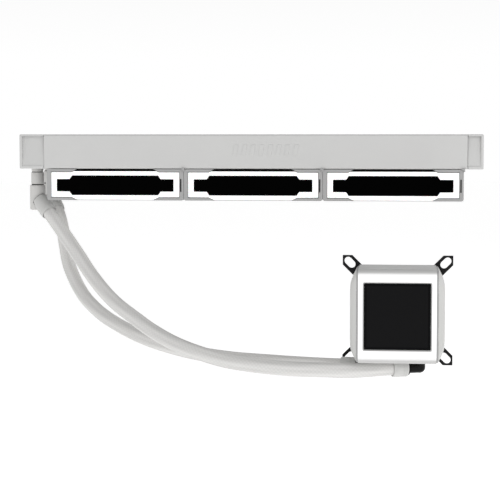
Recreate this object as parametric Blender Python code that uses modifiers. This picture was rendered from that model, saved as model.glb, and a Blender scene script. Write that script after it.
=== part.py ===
"""Liquid cooling radiator: a radiator with three fans, two hoses and a pump head.

Metres, +Z up.  The origin is the middle of the radiator's top face; +X runs along
the radiator, and the pump head hangs in front of it, on the -Y side.
All sizes below are millimetres; MM turns them into metres.
"""
import math

import bmesh
import bpy
from mathutils import Vector

MM = 0.001
GAP = 0.3

# Radiator
RADIATOR_LEFT = -204.0
RADIATOR_RIGHT = 196.4
RADIATOR_HALF_WIDTH = 60.0
RADIATOR_HEIGHT = 29.7
PORT_TANK_END = -182.6
RETURN_TANK_START = 183.2
TANK_WALL = 2.0
POCKET_DEPTH = 3.5
POCKET_END_RIM, POCKET_TOP_RIM, POCKET_BOTTOM_RIM = 3.0, 1.5, 3.0
CAVITY_HALF_WIDTH = 54.0
BAFFLE_HALF = 1.0
PASSAGE_RADIUS = 3.6
HEADER_THICKNESS = 1.2
RAIL_THICKNESS = 1.4
RAIL_FLANGE = 11.0
RAIL_HOLE = 1.7
TUBE_COUNT = 12
TUBE_THICKNESS = 2.0
FIN_WALL = 0.4
FINS_PER_PACK = 5
CORE_TOP, CORE_BOTTOM = -2.9, -26.9

# Fans
FAN_PITCH = 120.0
FAN_HALF = 59.85
FAN_TOP = -(RADIATOR_HEIGHT + GAP)
FAN_HEIGHT = 27.0
FAN_BORE = 55.9
FAN_SCREW_PITCH = 105.0
BRACKET_HEIGHT = 2.6
LINK_DEPTH = 1.4
BRACKET_INNER_TOP = 33.4
BRACKET_INNER_EDGE = 38.6
BODY_HALF_DEPTH = 56.9
BAR_HALF_LENGTH = 55.85
BAR_BACK, BAR_FRONT = 57.2, 59.8
MIRROR_HALF_LENGTH = 51.15
MIRROR_END_HALF_HEIGHT = 5.3
MIRROR_MIDDLE_HALF_HEIGHT = 8.5
MIRROR_CENTRE = -14.0
BLADE_COUNT = 7

# Hoses and fittings
HOSE_RADIUS = 6.1
COLLAR_RADIUS = 7.3
COLLAR_BORE = 6.6
PORT_X = -196.2
PORT_Y = 25.0
ELBOW_Z = -55.5
ELBOW_DROP = math.radians(39.0)
FRONT_ELBOW_TURN = math.radians(-40.0)
REAR_ELBOW_TURN = math.radians(-55.0)
COLLAR_END = 22.0
HOSE_START = 14.3
HOSE_POINT_SPACING = 10.5

# Pump head, about its own centre line; depths run towards -Y from the cold plate's contact face
PUMP_X, PUMP_Z = 124.8, -142.9
PUMP_BACK_Y = -116.0
HEAD_HALF_HEIGHT = 37.2
HEAD_HALF_WIDTH = 37.4
HEAD_BACK, HEAD_FRONT = 12.2, 62.0
BAND_HALF_WIDTH = 30.8
BAND_THICKNESS = 2.0
BAND_CORNER = 4.3
CHEEK_INNER = 32.2
SCREEN_HALF = 25.9
EAR_CENTRE = 38.8
EAR_HALF_WIDTH = 5.5
EAR_REACH = 44.7
PUMP_PORT_DEPTH = 22.0
PUMP_PORT_DROP = -187.8
FRONT_HOSE_PORT_X = 142.8
REAR_HOSE_PORT_X = 102.8
FRONT_HOSE_ANGLE = math.radians(20.0)
REAR_HOSE_ANGLE = math.radians(-4.0)

for leftover in list(bpy.data.objects):
    bpy.data.objects.remove(leftover)
MODEL = bpy.data.collections.new("liquid_cooling_radiator")
CUTTERS = bpy.data.collections.new("cutters")
bpy.context.scene.collection.children.link(MODEL)
bpy.context.scene.collection.children.link(CUTTERS)

FINISHES = {
    "white_paint": ((0.60, 0.60, 0.59), 0.45, 0.0),
    "white_plastic": ((0.75, 0.75, 0.74), 0.40, 0.0),
    "grey_plastic": ((0.42, 0.42, 0.42), 0.50, 0.0),
    "diffuser": ((0.90, 0.90, 0.90), 0.35, 0.0),
    "mirror_black": ((0.005, 0.005, 0.006), 0.05, 0.6),
    "black_steel": ((0.015, 0.015, 0.016), 0.35, 0.8),
    "aluminium": ((0.55, 0.55, 0.56), 0.35, 1.0),
    "hose_sleeve": ((0.62, 0.62, 0.60), 0.75, 0.0),
    "copper": ((0.72, 0.36, 0.22), 0.30, 1.0),
    "winding": ((0.55, 0.27, 0.12), 0.40, 0.7),
    "board": ((0.02, 0.12, 0.05), 0.50, 0.0),
    "glass": ((0.01, 0.01, 0.012), 0.08, 0.0),
    "rubber": ((0.02, 0.02, 0.02), 0.80, 0.0),
}

# A flat outline is drawn in its own x and y, and these turns stand it up:
# FLAT keeps x, y as X, Y; FACING makes them X, Z; SIDEWAYS makes them Y, Z.
FLAT = (0.0, 0.0, 0.0)
FACING = (math.pi / 2, 0.0, 0.0)
SIDEWAYS = (math.pi / 2, 0.0, math.pi / 2)


def finished(obj, finish):
    """Puts an object in the model with its own material."""
    colour, roughness, metallic = FINISHES[finish]
    material = bpy.data.materials.new(obj.name)
    material.use_nodes = True
    shader = material.node_tree.nodes["Principled BSDF"]
    shader.inputs["Base Color"].default_value = (*colour, 1.0)
    shader.inputs["Roughness"].default_value = roughness
    shader.inputs["Metallic"].default_value = metallic
    obj.data.materials.clear()
    obj.data.materials.append(material)
    obj.data.shade_smooth()
    obj.data.set_sharp_from_angle(angle=math.radians(35))
    return obj


def new_object(name, mesh, origin=(0, 0, 0), turn=FLAT):
    obj = bpy.data.objects.new(name, mesh)
    MODEL.objects.link(obj)
    obj.location = Vector(origin) * MM
    obj.rotation_euler = turn
    return obj


def mesh_from(name, bm):
    mesh = bpy.data.meshes.new(name)
    bm.to_mesh(mesh)
    bm.free()
    return mesh


def block(name, low, high):
    """A box between two corners, with its origin in its middle."""
    size = Vector(high) - Vector(low)
    bm = bmesh.new()
    bmesh.ops.create_cube(bm, size=1.0)
    bmesh.ops.scale(bm, vec=size * MM, verts=bm.verts)
    return new_object(name, mesh_from(name, bm), (Vector(low) + Vector(high)) / 2)


def rod(name, radius, start, end, sides=14):
    """A cylinder from one point to another."""
    start, end = Vector(start), Vector(end)
    along = end - start
    bm = bmesh.new()
    size = {"radius1": radius * MM, "radius2": radius * MM, "depth": along.length * MM}
    bmesh.ops.create_cone(bm, cap_ends=True, segments=sides, **size)
    turn = along.to_track_quat("Z", "Y").to_euler()
    return new_object(name, mesh_from(name, bm), (start + end) / 2, turn)


def plate(name, outlines, thickness, origin=(0, 0, 0), turn=FLAT):
    """A flat sheet from one outer outline and any holes in it, centred on its own plane."""
    curve = bpy.data.curves.new(name, "CURVE")
    curve.dimensions = "2D"
    curve.fill_mode = "BOTH"
    curve.extrude = thickness * MM / 2
    for outline in outlines:
        spline = curve.splines.new("POLY")
        spline.points.add(len(outline) - 1)
        for point, (x, y) in zip(spline.points, outline):
            point.co = (x * MM, y * MM, 0.0, 1.0)
        spline.use_cyclic_u = True
    drawn = bpy.data.objects.new(name, curve)
    MODEL.objects.link(drawn)
    mesh = evaluated_mesh(drawn)
    bpy.data.objects.remove(drawn)
    bm = bmesh.new()
    bm.from_mesh(mesh)
    bmesh.ops.remove_doubles(bm, verts=bm.verts, dist=0.00001)
    bm.to_mesh(mesh)
    bm.free()
    return new_object(name, mesh, origin, turn)


def turned(name, profile, sides, origin=(0, 0, 0), turn=FLAT):
    """A turned piece: its profile of (radius, height) runs down its outer side."""
    bm = bmesh.new()
    corners = [bm.verts.new((radius * MM, 0.0, height * MM)) for radius, height in profile]
    for first, second in zip(corners, corners[1:]):
        bm.edges.new((first, second))
    if profile[0][0] > 0:
        bm.edges.new((corners[-1], corners[0]))
    obj = new_object(name, mesh_from(name, bm), origin, turn)
    screw = obj.modifiers.new("turn", "SCREW")
    screw.steps = screw.render_steps = sides
    screw.use_merge_vertices = True
    screw.merge_threshold = 0.00001
    return obj


def evaluated_mesh(obj):
    graph = bpy.context.evaluated_depsgraph_get()
    return bpy.data.meshes.new_from_object(obj.evaluated_get(graph))


def combine(obj, others, operation):
    for other in others:
        modifier = obj.modifiers.new(other.name, "BOOLEAN")
        modifier.operation = operation
        modifier.object = other
        modifier.solver = "EXACT"
        MODEL.objects.unlink(other)
        CUTTERS.objects.link(other)
        other.hide_render = True
        other.display_type = "WIRE"
    return obj


def cut(obj, *cutters):
    return combine(obj, cutters, "DIFFERENCE")


def joined(obj, *others):
    return combine(obj, others, "UNION")


def settled(obj):
    """Replaces an object's modifiers with the mesh they make, so that copies can share it."""
    bpy.context.view_layer.update()
    mesh = evaluated_mesh(obj)
    obj.modifiers.clear()
    obj.data = mesh
    return obj


def copy_of(obj, name, shift):
    twin = obj.copy()
    twin.name = name
    twin.location = obj.location + Vector(shift) * MM
    MODEL.objects.link(twin)
    return twin


def arc(centre, radius, first, last, steps):
    """Points on an arc, angles in degrees, both ends included."""
    angles = [math.radians(first + (last - first) * i / steps) for i in range(steps + 1)]
    return [(centre[0] + radius * math.cos(a), centre[1] + radius * math.sin(a)) for a in angles]


# ------------------------------------------------------------------ radiator
def tank(name, inner_end, outer_end, cavities):
    """A cast tank, open towards the core, with a shallow pocket in each side face."""
    side = 1 if outer_end > inner_end else -1
    low, high = sorted((inner_end, outer_end))
    corner = (low, -RADIATOR_HALF_WIDTH, -RADIATOR_HEIGHT)
    body = block(name, corner, (high, RADIATOR_HALF_WIDTH, 0.0))
    outer_rim = outer_end - side * POCKET_END_RIM
    past_inner = inner_end - side * 1.0
    low, high = sorted((past_inner, outer_rim))
    for face in (-1, 1):
        floor, past_face = face * (RADIATOR_HALF_WIDTH - POCKET_DEPTH), face * (RADIATOR_HALF_WIDTH + 1)
        y_low, y_high = sorted((floor, past_face))
        bottom, top = -RADIATOR_HEIGHT + POCKET_BOTTOM_RIM, -POCKET_TOP_RIM
        cut(body, block(f"{name}_pocket_{face}", (low, y_low, bottom), (high, y_high, top)))
    low, high = sorted((past_inner, outer_end - side * TANK_WALL))
    for number, (y_low, y_high) in enumerate(cavities):
        bottom = -RADIATOR_HEIGHT + TANK_WALL
        cut(body, block(f"{name}_cavity_{number}", (low, y_low, bottom), (high, y_high, -TANK_WALL)))
    return body


port_chambers = [(-CAVITY_HALF_WIDTH, -BAFFLE_HALF), (BAFFLE_HALF, CAVITY_HALF_WIDTH)]
port_tank = tank("port_tank", PORT_TANK_END, RADIATOR_LEFT, port_chambers)
for port_y in (-PORT_Y, PORT_Y):
    below, inside = (PORT_X, port_y, -RADIATOR_HEIGHT - 1), (PORT_X, port_y, -20.0)
    cut(port_tank, rod(f"port_hole_{port_y:.0f}", PASSAGE_RADIUS, below, inside, 16))
finished(port_tank, "white_paint")
return_tank = tank(
    "return_tank", RETURN_TANK_START, RADIATOR_RIGHT, [(-CAVITY_HALF_WIDTH, CAVITY_HALF_WIDTH)]
)
finished(return_tank, "white_paint")

CORE_HALF_WIDTH = RADIATOR_HALF_WIDTH - RAIL_THICKNESS - GAP
PACK_DEPTH = (2 * CORE_HALF_WIDTH - TUBE_COUNT * TUBE_THICKNESS) / (TUBE_COUNT + 1)
TUBE_CENTRES = [
    -CORE_HALF_WIDTH + PACK_DEPTH + TUBE_THICKNESS / 2 + i * (PACK_DEPTH + TUBE_THICKNESS)
    for i in range(TUBE_COUNT)
]
PORT_HEADER_X = PORT_TANK_END + 0.5
RETURN_HEADER_X = RETURN_TANK_START - 0.5


def header(name, outer_x, side):
    """A header plate, slotted for the flat tubes."""
    low, high = sorted((outer_x, outer_x + side * HEADER_THICKNESS))
    body = block(name, (low, -57.5, -28.1), (high, 57.5, -1.7))
    bm = bmesh.new()
    for y in TUBE_CENTRES:
        slot = bmesh.ops.create_cube(bm, size=1.0)["verts"]
        size = Vector((4.0, TUBE_THICKNESS + 2 * GAP, CORE_TOP - CORE_BOTTOM + 2 * GAP))
        place = Vector(((low + high) / 2, y, (CORE_TOP + CORE_BOTTOM) / 2))
        bmesh.ops.scale(bm, vec=size * MM, verts=slot)
        bmesh.ops.translate(bm, vec=place * MM, verts=slot)
    cut(body, new_object(f"{name}_slots", mesh_from(f"{name}_slots", bm)))
    return finished(body, "aluminium")


header("port_header", PORT_HEADER_X, 1)
header("return_header", RETURN_HEADER_X, -1)


def shrunk(corners, inset):
    """A triangle drawn in from its sides by the same distance."""
    a, b, c = (Vector(corner) for corner in corners)
    sides = ((b - c).length, (c - a).length, (a - b).length)
    middle = (a * sides[0] + b * sides[1] + c * sides[2]) / sum(sides)
    area = abs((b - a).x * (c - a).y - (b - a).y * (c - a).x) / 2
    scale = 1 - inset / (2 * area / sum(sides))
    return [tuple(middle + (corner - middle) * scale) for corner in (a, b, c)]


def core_outlines():
    """Seen from above: flat tubes that stand out past folded fins, which leave triangular gaps."""
    left, right = PORT_HEADER_X + HEADER_THICKNESS + 0.5, RETURN_HEADER_X - HEADER_THICKNESS - 0.5
    tube_left, tube_right = PORT_TANK_END - 1.4, RETURN_TANK_START + 1.4
    half = TUBE_THICKNESS / 2
    outer = [(left, -CORE_HALF_WIDTH), (right, -CORE_HALF_WIDTH)]
    for y in TUBE_CENTRES:
        outer += [(right, y - half), (tube_right, y - half), (tube_right, y + half), (right, y + half)]
    outer += [(right, CORE_HALF_WIDTH), (left, CORE_HALF_WIDTH)]
    for y in reversed(TUBE_CENTRES):
        outer += [(left, y + half), (tube_left, y + half), (tube_left, y - half), (left, y - half)]
    gaps = []
    step = (right - left) / (FINS_PER_PACK + 1)
    for pack in range(TUBE_COUNT + 1):
        near = -CORE_HALF_WIDTH + pack * (PACK_DEPTH + TUBE_THICKNESS)
        far = near + PACK_DEPTH
        for fold in range(FINS_PER_PACK):
            base, tip = (near, far) if (fold + pack) % 2 else (far, near)
            x = left + fold * step
            gaps.append(shrunk([(x, base), (x + 2 * step, base), (x + step, tip)], FIN_WALL))
    return [outer] + gaps


core_middle = (CORE_TOP + CORE_BOTTOM) / 2
radiator_core = plate("radiator_core", core_outlines(), CORE_TOP - CORE_BOTTOM, (0, 0, core_middle))
finished(radiator_core, "aluminium")


def side_rail(name, face):
    """A folded channel along the core, with a row of screw holes through both flanges."""
    top, bottom, wall = 0.0, -RADIATOR_HEIGHT, RAIL_THICKNESS
    outer, inner = RADIATOR_HALF_WIDTH, RADIATOR_HALF_WIDTH - RAIL_FLANGE
    section = [(outer, top), (inner, top), (inner, top - wall), (outer - wall, top - wall)]
    section += [(outer - wall, bottom + wall), (inner, bottom + wall), (inner, bottom), (outer, bottom)]
    section = [(face * y, z) for y, z in section]
    length = RETURN_TANK_START - PORT_TANK_END - 2 * GAP
    middle = (RETURN_TANK_START + PORT_TANK_END) / 2
    rail = plate(name, [section], length, (middle, 0, 0), SIDEWAYS)
    bm = bmesh.new()
    for fan in (-1, 0, 1):
        for end in (-1, 1):
            size = {"radius1": RAIL_HOLE * MM, "radius2": RAIL_HOLE * MM, "depth": 0.04}
            hole = bmesh.ops.create_cone(bm, cap_ends=True, segments=6, **size)
            x, y = fan * FAN_PITCH + end * FAN_SCREW_PITCH / 2, face * FAN_SCREW_PITCH / 2
            place = Vector((x, y, -RADIATOR_HEIGHT / 2))
            bmesh.ops.translate(bm, vec=place * MM, verts=hole["verts"])
    cut(rail, new_object(f"{name}_holes", mesh_from(f"{name}_holes", bm)))
    return finished(rail, "white_paint")


side_rail("side_rail_front", -1)
side_rail("side_rail_rear", 1)


# ------------------------------------------------------------------ fans
def frame_body():
    """One fan frame about the fan's axis, its top face at z 0."""
    outline = [(-FAN_HALF, -BODY_HALF_DEPTH), (FAN_HALF, -BODY_HALF_DEPTH)]
    outline += [(FAN_HALF, BODY_HALF_DEPTH), (-FAN_HALF, BODY_HALF_DEPTH)]
    bore = arc((0, 0), FAN_BORE, 0, 348, 29)
    body = plate("fan_frame_2", [outline, bore], FAN_HEIGHT, (0, 0, FAN_TOP - FAN_HEIGHT / 2))
    for face in (-1, 1):
        for side in (-1, 1):
            column, low = BAR_HALF_LENGTH + GAP, BRACKET_HEIGHT - FAN_HEIGHT
            upright = [(BRACKET_INNER_TOP, 0), (FAN_HALF, 0)]
            upright += [(FAN_HALF, -FAN_HEIGHT), (BRACKET_INNER_TOP, -FAN_HEIGHT)]
            upright += [(BRACKET_INNER_EDGE, low), (column, low)]
            upright += [(column, -BRACKET_HEIGHT), (BRACKET_INNER_EDGE, -BRACKET_HEIGHT)]
            upright = [(side * x, z) for x, z in upright]
            depth = FAN_HALF - BODY_HALF_DEPTH + 0.5
            place = (0, face * (FAN_HALF - depth / 2), FAN_TOP)
            joined(body, plate(f"corner_{face}_{side}", [upright], depth, place, FACING))
    for x in (-1, 1):
        low = (x * FAN_HALF - LINK_DEPTH, -58.7, FAN_TOP - 21.5)
        high = (x * FAN_HALF + LINK_DEPTH, -48.0, FAN_TOP - 9.0)
        cut(body, block(f"link_recess_{x}", low, high))
        for y in (-1, 1):
            place = (x * FAN_SCREW_PITCH / 2, y * FAN_SCREW_PITCH / 2)
            below_fan = (*place, FAN_TOP - FAN_HEIGHT - 1)
            cut(body, rod(f"screw_hole_{x}_{y}", 2.15, (*place, FAN_TOP + 1), below_fan, 8))
    hub = rod("hub_plate", 21.0, (0, 0, FAN_TOP - 0.5), (0, 0, FAN_TOP - 3.5), 18)
    spokes = []
    for angle in (45, 135):
        spoke = block(f"spoke_{angle}", (-57.5, -2.2, FAN_TOP - 4.0), (57.5, 2.2, FAN_TOP - 0.7))
        spoke.rotation_euler = (0, 0, math.radians(angle))
        spokes.append(spoke)
    bearing = rod("bearing_tube", 4.2, (0, 0, FAN_TOP - 3.0), (0, 0, FAN_TOP - 19.0), 12)
    joined(body, hub, *spokes, bearing)
    cut(body, rod("shaft_hole", 1.9, (0, 0, FAN_TOP - 6.0), (0, 0, FAN_TOP - 20.0), 10))
    return finished(settled(body), "grey_plastic")


def stator_body():
    """Four coil poles about a ring that sits on the bearing tube."""
    outline = []
    for pole in range(4):
        start = 90 * pole
        outline += arc((0, 0), 15.0, start - 32, start + 32, 3)
        outline += arc((0, 0), 8.0, start + 32, start + 58, 1)
    ring = arc((0, 0), 4.5, 0, 330, 11)
    body = plate("fan_stator_2", [outline, ring], 10.0, (0, 0, FAN_TOP - 10.0))
    return finished(settled(body), "winding")


def rotor_body():
    """The magnet cup and shaft, with seven swept blades."""
    profile = [(0, -8.0), (1.5, -8.0), (1.5, -21.8), (19.2, -21.8), (19.2, -5.0), (21.0, -5.0)]
    profile += [(21.0, -23.0), (20.3, -24.0), (0, -24.0)]
    hub = turned("fan_rotor_2", profile, 18, (0, 0, FAN_TOP))
    for number in range(BLADE_COUNT):
        bm = bmesh.new()
        rows = []
        for across in range(3):
            radius = 20.2 + across * (54.6 - 20.2) / 2
            row = []
            for along in range(3):
                part = along / 2 - 0.5
                angle = math.tau * number / BLADE_COUNT + part * 0.72 - 0.16 * (across / 2) ** 2
                height = -13.8 - part * (13.0 - 2.2 * across) - 1.6 * math.cos(math.pi * part)
                spot = Vector((radius * math.cos(angle), radius * math.sin(angle), height))
                row.append(bm.verts.new(spot * MM))
            rows.append(row)
        for inner, outer in zip(rows, rows[1:]):
            for i in range(2):
                bm.faces.new((inner[i], outer[i], outer[i + 1], inner[i + 1]))
        blade = new_object(f"blade_{number}", mesh_from(f"blade_{number}", bm), (0, 0, FAN_TOP))
        sheet = blade.modifiers.new("thickness", "SOLIDIFY")
        sheet.thickness = 1.3 * MM
        sheet.offset = 0.0
        joined(hub, blade)
    return finished(settled(hub), "white_plastic")


def mirror_outline(grow=0.0):
    """The panel's outline: narrow ends and a taller middle with sloping shoulders."""
    end, shoulder, middle = MIRROR_HALF_LENGTH + grow, 39.9 + grow, 37.7 + grow * 0.6
    low, high = MIRROR_END_HALF_HEIGHT + grow, MIRROR_MIDDLE_HALF_HEIGHT + grow
    quarter = [(end, low), (shoulder, low + 0.05), (middle, high)]
    points = quarter + [(-x, z) for x, z in reversed(quarter)]
    points += [(-x, -z) for x, z in quarter] + [(x, -z) for x, z in reversed(quarter)]
    return [(x, z + MIRROR_CENTRE) for x, z in points]


def light_bar(name, face):
    """The diffuser bar between a frame's corners, with a pocket for the mirror panel."""
    low, high = -FAN_HEIGHT + BRACKET_HEIGHT + GAP, -BRACKET_HEIGHT - GAP
    outline = [(-BAR_HALF_LENGTH, high), (-38.3, high), (-36.0, -1.9)]
    outline += [(36.0, -1.9), (38.3, high), (BAR_HALF_LENGTH, high)]
    outline += [(BAR_HALF_LENGTH, low + 0.1), (38.3, low), (33.5, -26.4)]
    outline += [(-33.5, -26.4), (-38.3, low), (-BAR_HALF_LENGTH, low + 0.1)]
    middle = face * (BAR_BACK + BAR_FRONT) / 2
    bar = plate(name, [outline], BAR_FRONT - BAR_BACK, (0, middle, FAN_TOP), FACING)
    pocket = plate(f"{name}_pocket", [mirror_outline(GAP)], 2.4, (0, face * BAR_FRONT, FAN_TOP), FACING)
    return finished(settled(cut(bar, pocket)), "diffuser")


def mirror_panel(name, face):
    body = plate(name, [mirror_outline()], 0.8, (0, face * (BAR_FRONT - 0.45), FAN_TOP), FACING)
    return finished(settled(body), "mirror_black")


fan_pieces = [frame_body(), stator_body(), rotor_body()]
fan_pieces += [light_bar("front_light_bar_2", -1), light_bar("rear_light_bar_2", 1)]
fan_pieces += [mirror_panel("front_mirror_2", -1), mirror_panel("rear_mirror_2", 1)]
for number, shift in ((1, -FAN_PITCH), (3, FAN_PITCH)):
    for piece in fan_pieces:
        copy_of(piece, piece.name.replace("_2", f"_{number}"), (shift, 0, 0))


# ------------------------------------------------------------------ fittings under the port tank
def outlet_direction(turn):
    flat = math.cos(ELBOW_DROP)
    return Vector((flat * math.cos(turn), flat * math.sin(turn), -math.sin(ELBOW_DROP)))


def fitting(side, port_y, turn):
    """A threaded neck, a swivel ring, an elbow block and the collar round the hose end."""
    def below(z):
        return (PORT_X, port_y, z)

    neck = rod(f"{side}_neck", 5.85, below(-RADIATOR_HEIGHT - GAP), below(-33.2))
    neck_bore = rod(f"{side}_neck_bore", PASSAGE_RADIUS, below(-29.0), below(-34.0), 12)
    finished(cut(neck, neck_bore), "white_paint")
    ring = rod(f"{side}_swivel_ring", 5.7, below(-33.5), below(-44.4))
    ring_bore = rod(f"{side}_ring_bore", PASSAGE_RADIUS, below(-33.0), below(-45.0), 12)
    finished(cut(ring, ring_bore), "white_paint")
    along = outlet_direction(turn)
    centre = Vector(below(ELBOW_Z))
    elbow = rod(f"{side}_elbow", 6.9, below(-44.7), below(-67.0), 18)
    joined(elbow, rod(f"{side}_stub", 5.9, centre, centre + along * (HOSE_START - 1.0)))
    cut(elbow, rod(f"{side}_elbow_bore", PASSAGE_RADIUS, below(-44.0), centre - Vector((0, 0, 3)), 12))
    cut(elbow, rod(f"{side}_stub_bore", 3.5, centre, centre + along * 14, 12))
    finished(elbow, "white_paint")
    collar = rod(f"{side}_collar", COLLAR_RADIUS, centre + along * 5, centre + along * COLLAR_END, 18)
    cut(collar, rod(f"{side}_collar_bore", COLLAR_BORE, centre + along * 3, centre + along * 24, 16))
    cut(collar, rod(f"{side}_saddle", 7.3, below(-40.0), below(-67.4), 18))
    finished(collar, "white_plastic")
    return centre, along


front_centre, front_along = fitting("front", -PORT_Y, FRONT_ELBOW_TURN)
rear_centre, rear_along = fitting("rear", PORT_Y, REAR_ELBOW_TURN)


# ------------------------------------------------------------------ pump head
def in_head(x, z, depth):
    """A place in the pump head, from its centre line and its depth in front of the contact face."""
    return Vector((PUMP_X + x, PUMP_BACK_Y - depth, PUMP_Z + z))


def head_turned(name, profile, sides, depth=0.0):
    """A turned piece of the pump, its axis pointing at the viewer of the screen."""
    return turned(name, profile, sides, in_head(0, 0, depth), FACING)


def square(half, corner=0.0):
    if not corner:
        return [(-half, -half), (half, -half), (half, half), (-half, half)]
    points = []
    for first, (x, y) in zip((-90, 0, 90, 180), ((1, -1), (1, 1), (-1, 1), (-1, -1))):
        points += arc((x * (half - corner), y * (half - corner)), corner, first, first + 90, 3)
    return points


def facing_plate(name, outlines, near, far):
    """A flat piece parallel to the screen, between two depths."""
    return plate(name, outlines, far - near, in_head(0, 0, (near + far) / 2), FACING)


cold_plate = facing_plate("cold_plate", [square(28.0, 5.0)], 0.0, 3.2)
joined(cold_plate, facing_plate("micro_fins", [square(14.0)], 3.0, 6.2))
finished(cold_plate, "copper")

seal_ring = head_turned("seal_ring", [(23.4, 4.8), (24.6, 4.8), (24.6, 3.5), (23.4, 3.5)], 24)
finished(seal_ring, "rubber")

base_profile = [(0, 15.2), (34.0, 15.2), (34.0, 11.9), (29.0, 11.9), (29.0, 5.1), (0, 5.1)]
base_block = head_turned("base_block", base_profile, 24)
cut(base_block, facing_plate("fin_pocket", [square(15.5)], 4.0, 7.5))
cut(base_block, rod("base_inlet", 3.0, in_head(0, 0, 7.0), in_head(0, 0, 16.0), 12))
SCREW_PLACES = [(31.9, 0), (0, 31.9), (-31.9, 0), (0, -31.9)]
for number, (x, z) in enumerate(SCREW_PLACES, 1):
    cut(base_block, rod(f"base_thread_{number}", 1.6, in_head(x, z, 11.0), in_head(x, z, 14.4), 6))
finished(base_block, "grey_plastic")


def bracket_outlines():
    """A ring with an arm towards each corner of the socket, and a slot in each arm."""
    ring, outer, holes = 36.0, [], [arc((0, 0), 29.4, 0, 345, 23)]
    spread = math.degrees(math.asin(EAR_HALF_WIDTH / ring))
    reach = EAR_REACH * math.sqrt(2)
    for corner in (45, 135, 225, 315):
        turn = math.radians(corner)

        def outward(along, across):
            return (
                along * math.cos(turn) - across * math.sin(turn),
                along * math.sin(turn) + across * math.cos(turn),
            )

        outer += arc((0, 0), ring, corner - 90 + spread, corner - spread, 4)
        outer += [outward(reach - EAR_HALF_WIDTH, -EAR_HALF_WIDTH), outward(reach, 0.0)]
        outer += [outward(reach - EAR_HALF_WIDTH, EAR_HALF_WIDTH)]
        middle = EAR_CENTRE * math.sqrt(2)
        slot = arc((middle + 2.05, 0), 3.05, -90, 90, 4) + arc((middle - 2.05, 0), 3.05, 90, 270, 4)
        holes.append([outward(along, across) for along, across in slot])
    for x, z in SCREW_PLACES:
        holes.append(arc((x, z), 1.7, 0, 300, 5))
    return [outer] + holes


finished(facing_plate("mounting_bracket", bracket_outlines(), 10.0, 11.6), "black_steel")
for number, (x, z) in enumerate(SCREW_PLACES, 1):
    screw = rod(f"bracket_screw_{number}", 2.5, in_head(x, z, 8.0), in_head(x, z, 9.7), 8)
    joined(screw, rod(f"screw_shank_{number}", 1.2, in_head(x, z, 9.0), in_head(x, z, 14.1), 6))
    finished(screw, "black_steel")

volute_profile = [(0, 36.0), (9.3, 36.0), (9.3, 26.0), (29.5, 26.0), (29.5, 15.5), (18.0, 15.5)]
volute_profile += [(18.0, 24.0), (8.0, 24.0), (8.0, 34.8), (0, 34.8)]
finished(head_turned("volute_cover", volute_profile, 24), "grey_plastic")

impeller_profile = [(0, 34.0), (7.0, 34.0), (7.0, 23.2), (15.5, 23.2), (15.5, 21.8), (0, 21.8)]
VANE_REACH = 9.5
impeller = head_turned("pump_impeller", impeller_profile, 18)
for number in range(6):
    angle = math.tau * number / 6
    vane = block(f"vane_{number}", (4.0, -0.7, 0), (15.0, 0.7, 5.2))
    vane.rotation_euler = (math.pi / 2, -angle, 0)
    vane.location = in_head(VANE_REACH * math.cos(angle), VANE_REACH * math.sin(angle), 19.6) * MM
    joined(impeller, vane)
finished(settled(impeller), "white_plastic")

stator_outline = []
for pole in range(6):
    stator_outline += arc((0, 0), 19.0, 60 * pole - 20, 60 * pole + 20, 2)
    stator_outline += arc((0, 0), 13.5, 60 * pole + 20, 60 * pole + 40, 1)
motor_stator = facing_plate("motor_stator", [stator_outline, arc((0, 0), 9.7, 0, 345, 23)], 27.0, 34.5)
finished(motor_stator, "winding")
finished(facing_plate("circuit_board", [square(27.0, 2.0)], 40.0, 41.6), "board")
finished(facing_plate("display_module", [square(27.0)], 55.6, 59.7), "black_steel")
finished(facing_plate("screen_glass", [square(SCREEN_HALF, 0.6)], 60.2, 61.4), "glass")


def u_section(inset, back, front, corner):
    """The band's side view: (Y, Z) points of a U that opens to the rear."""
    height = HEAD_HALF_HEIGHT - inset
    depth = front - inset
    points = [(-back, height)]
    points += [(-y, z) for y, z in arc((depth - corner, height - corner), corner, 90, 0, 4)]
    points += [(-y, -z) for y, z in arc((depth - corner, height - corner), corner, 0, 90, 4)]
    points += [(-back, -height)]
    return points


def u_strip(name, inset, back, front, corner, wall, half_width):
    outer = u_section(inset, back, front, corner)
    inner = u_section(inset + wall, back, front, max(corner - wall, 0.6))
    body = plate(name, [outer + inner[::-1]], 2 * half_width, in_head(0, 0, 0), SIDEWAYS)
    return body


def port_holes(name):
    """Holes in the floor of the head for the two elbows."""
    for number, x in enumerate((FRONT_HOSE_PORT_X, REAR_HOSE_PORT_X)):
        y = PUMP_BACK_Y - PUMP_PORT_DEPTH
        yield rod(f"{name}_port_{number}", 5.1, (x, y, -190.0), (x, y, -173.0), 16)


front_band = u_strip("front_band", 0.0, HEAD_BACK, HEAD_FRONT, BAND_CORNER, BAND_THICKNESS, BAND_HALF_WIDTH)
window_outline = square(SCREEN_HALF + 0.4, 0.6)
cut(front_band, facing_plate("band_window", [window_outline], 58.0, 64.0), *port_holes("band"))
finished(front_band, "white_plastic")

housing = u_strip("head_housing", BAND_THICKNESS + GAP, 15.6, HEAD_FRONT, 3.0, 1.5, 31.5)
for side in (-1, 1):
    middle = side * 30.75
    wall = block(
        f"housing_side_{side}",
        in_head(middle - 0.75, -HEAD_HALF_HEIGHT + 3.0, 15.6),
        in_head(middle + 0.75, HEAD_HALF_HEIGHT - 3.0, HEAD_FRONT - 3.0),
    )
    joined(housing, wall)
cut(housing, facing_plate("housing_window", [square(27.6)], 50.0, 64.0), *port_holes("housing"))
finished(housing, "grey_plastic")


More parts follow.
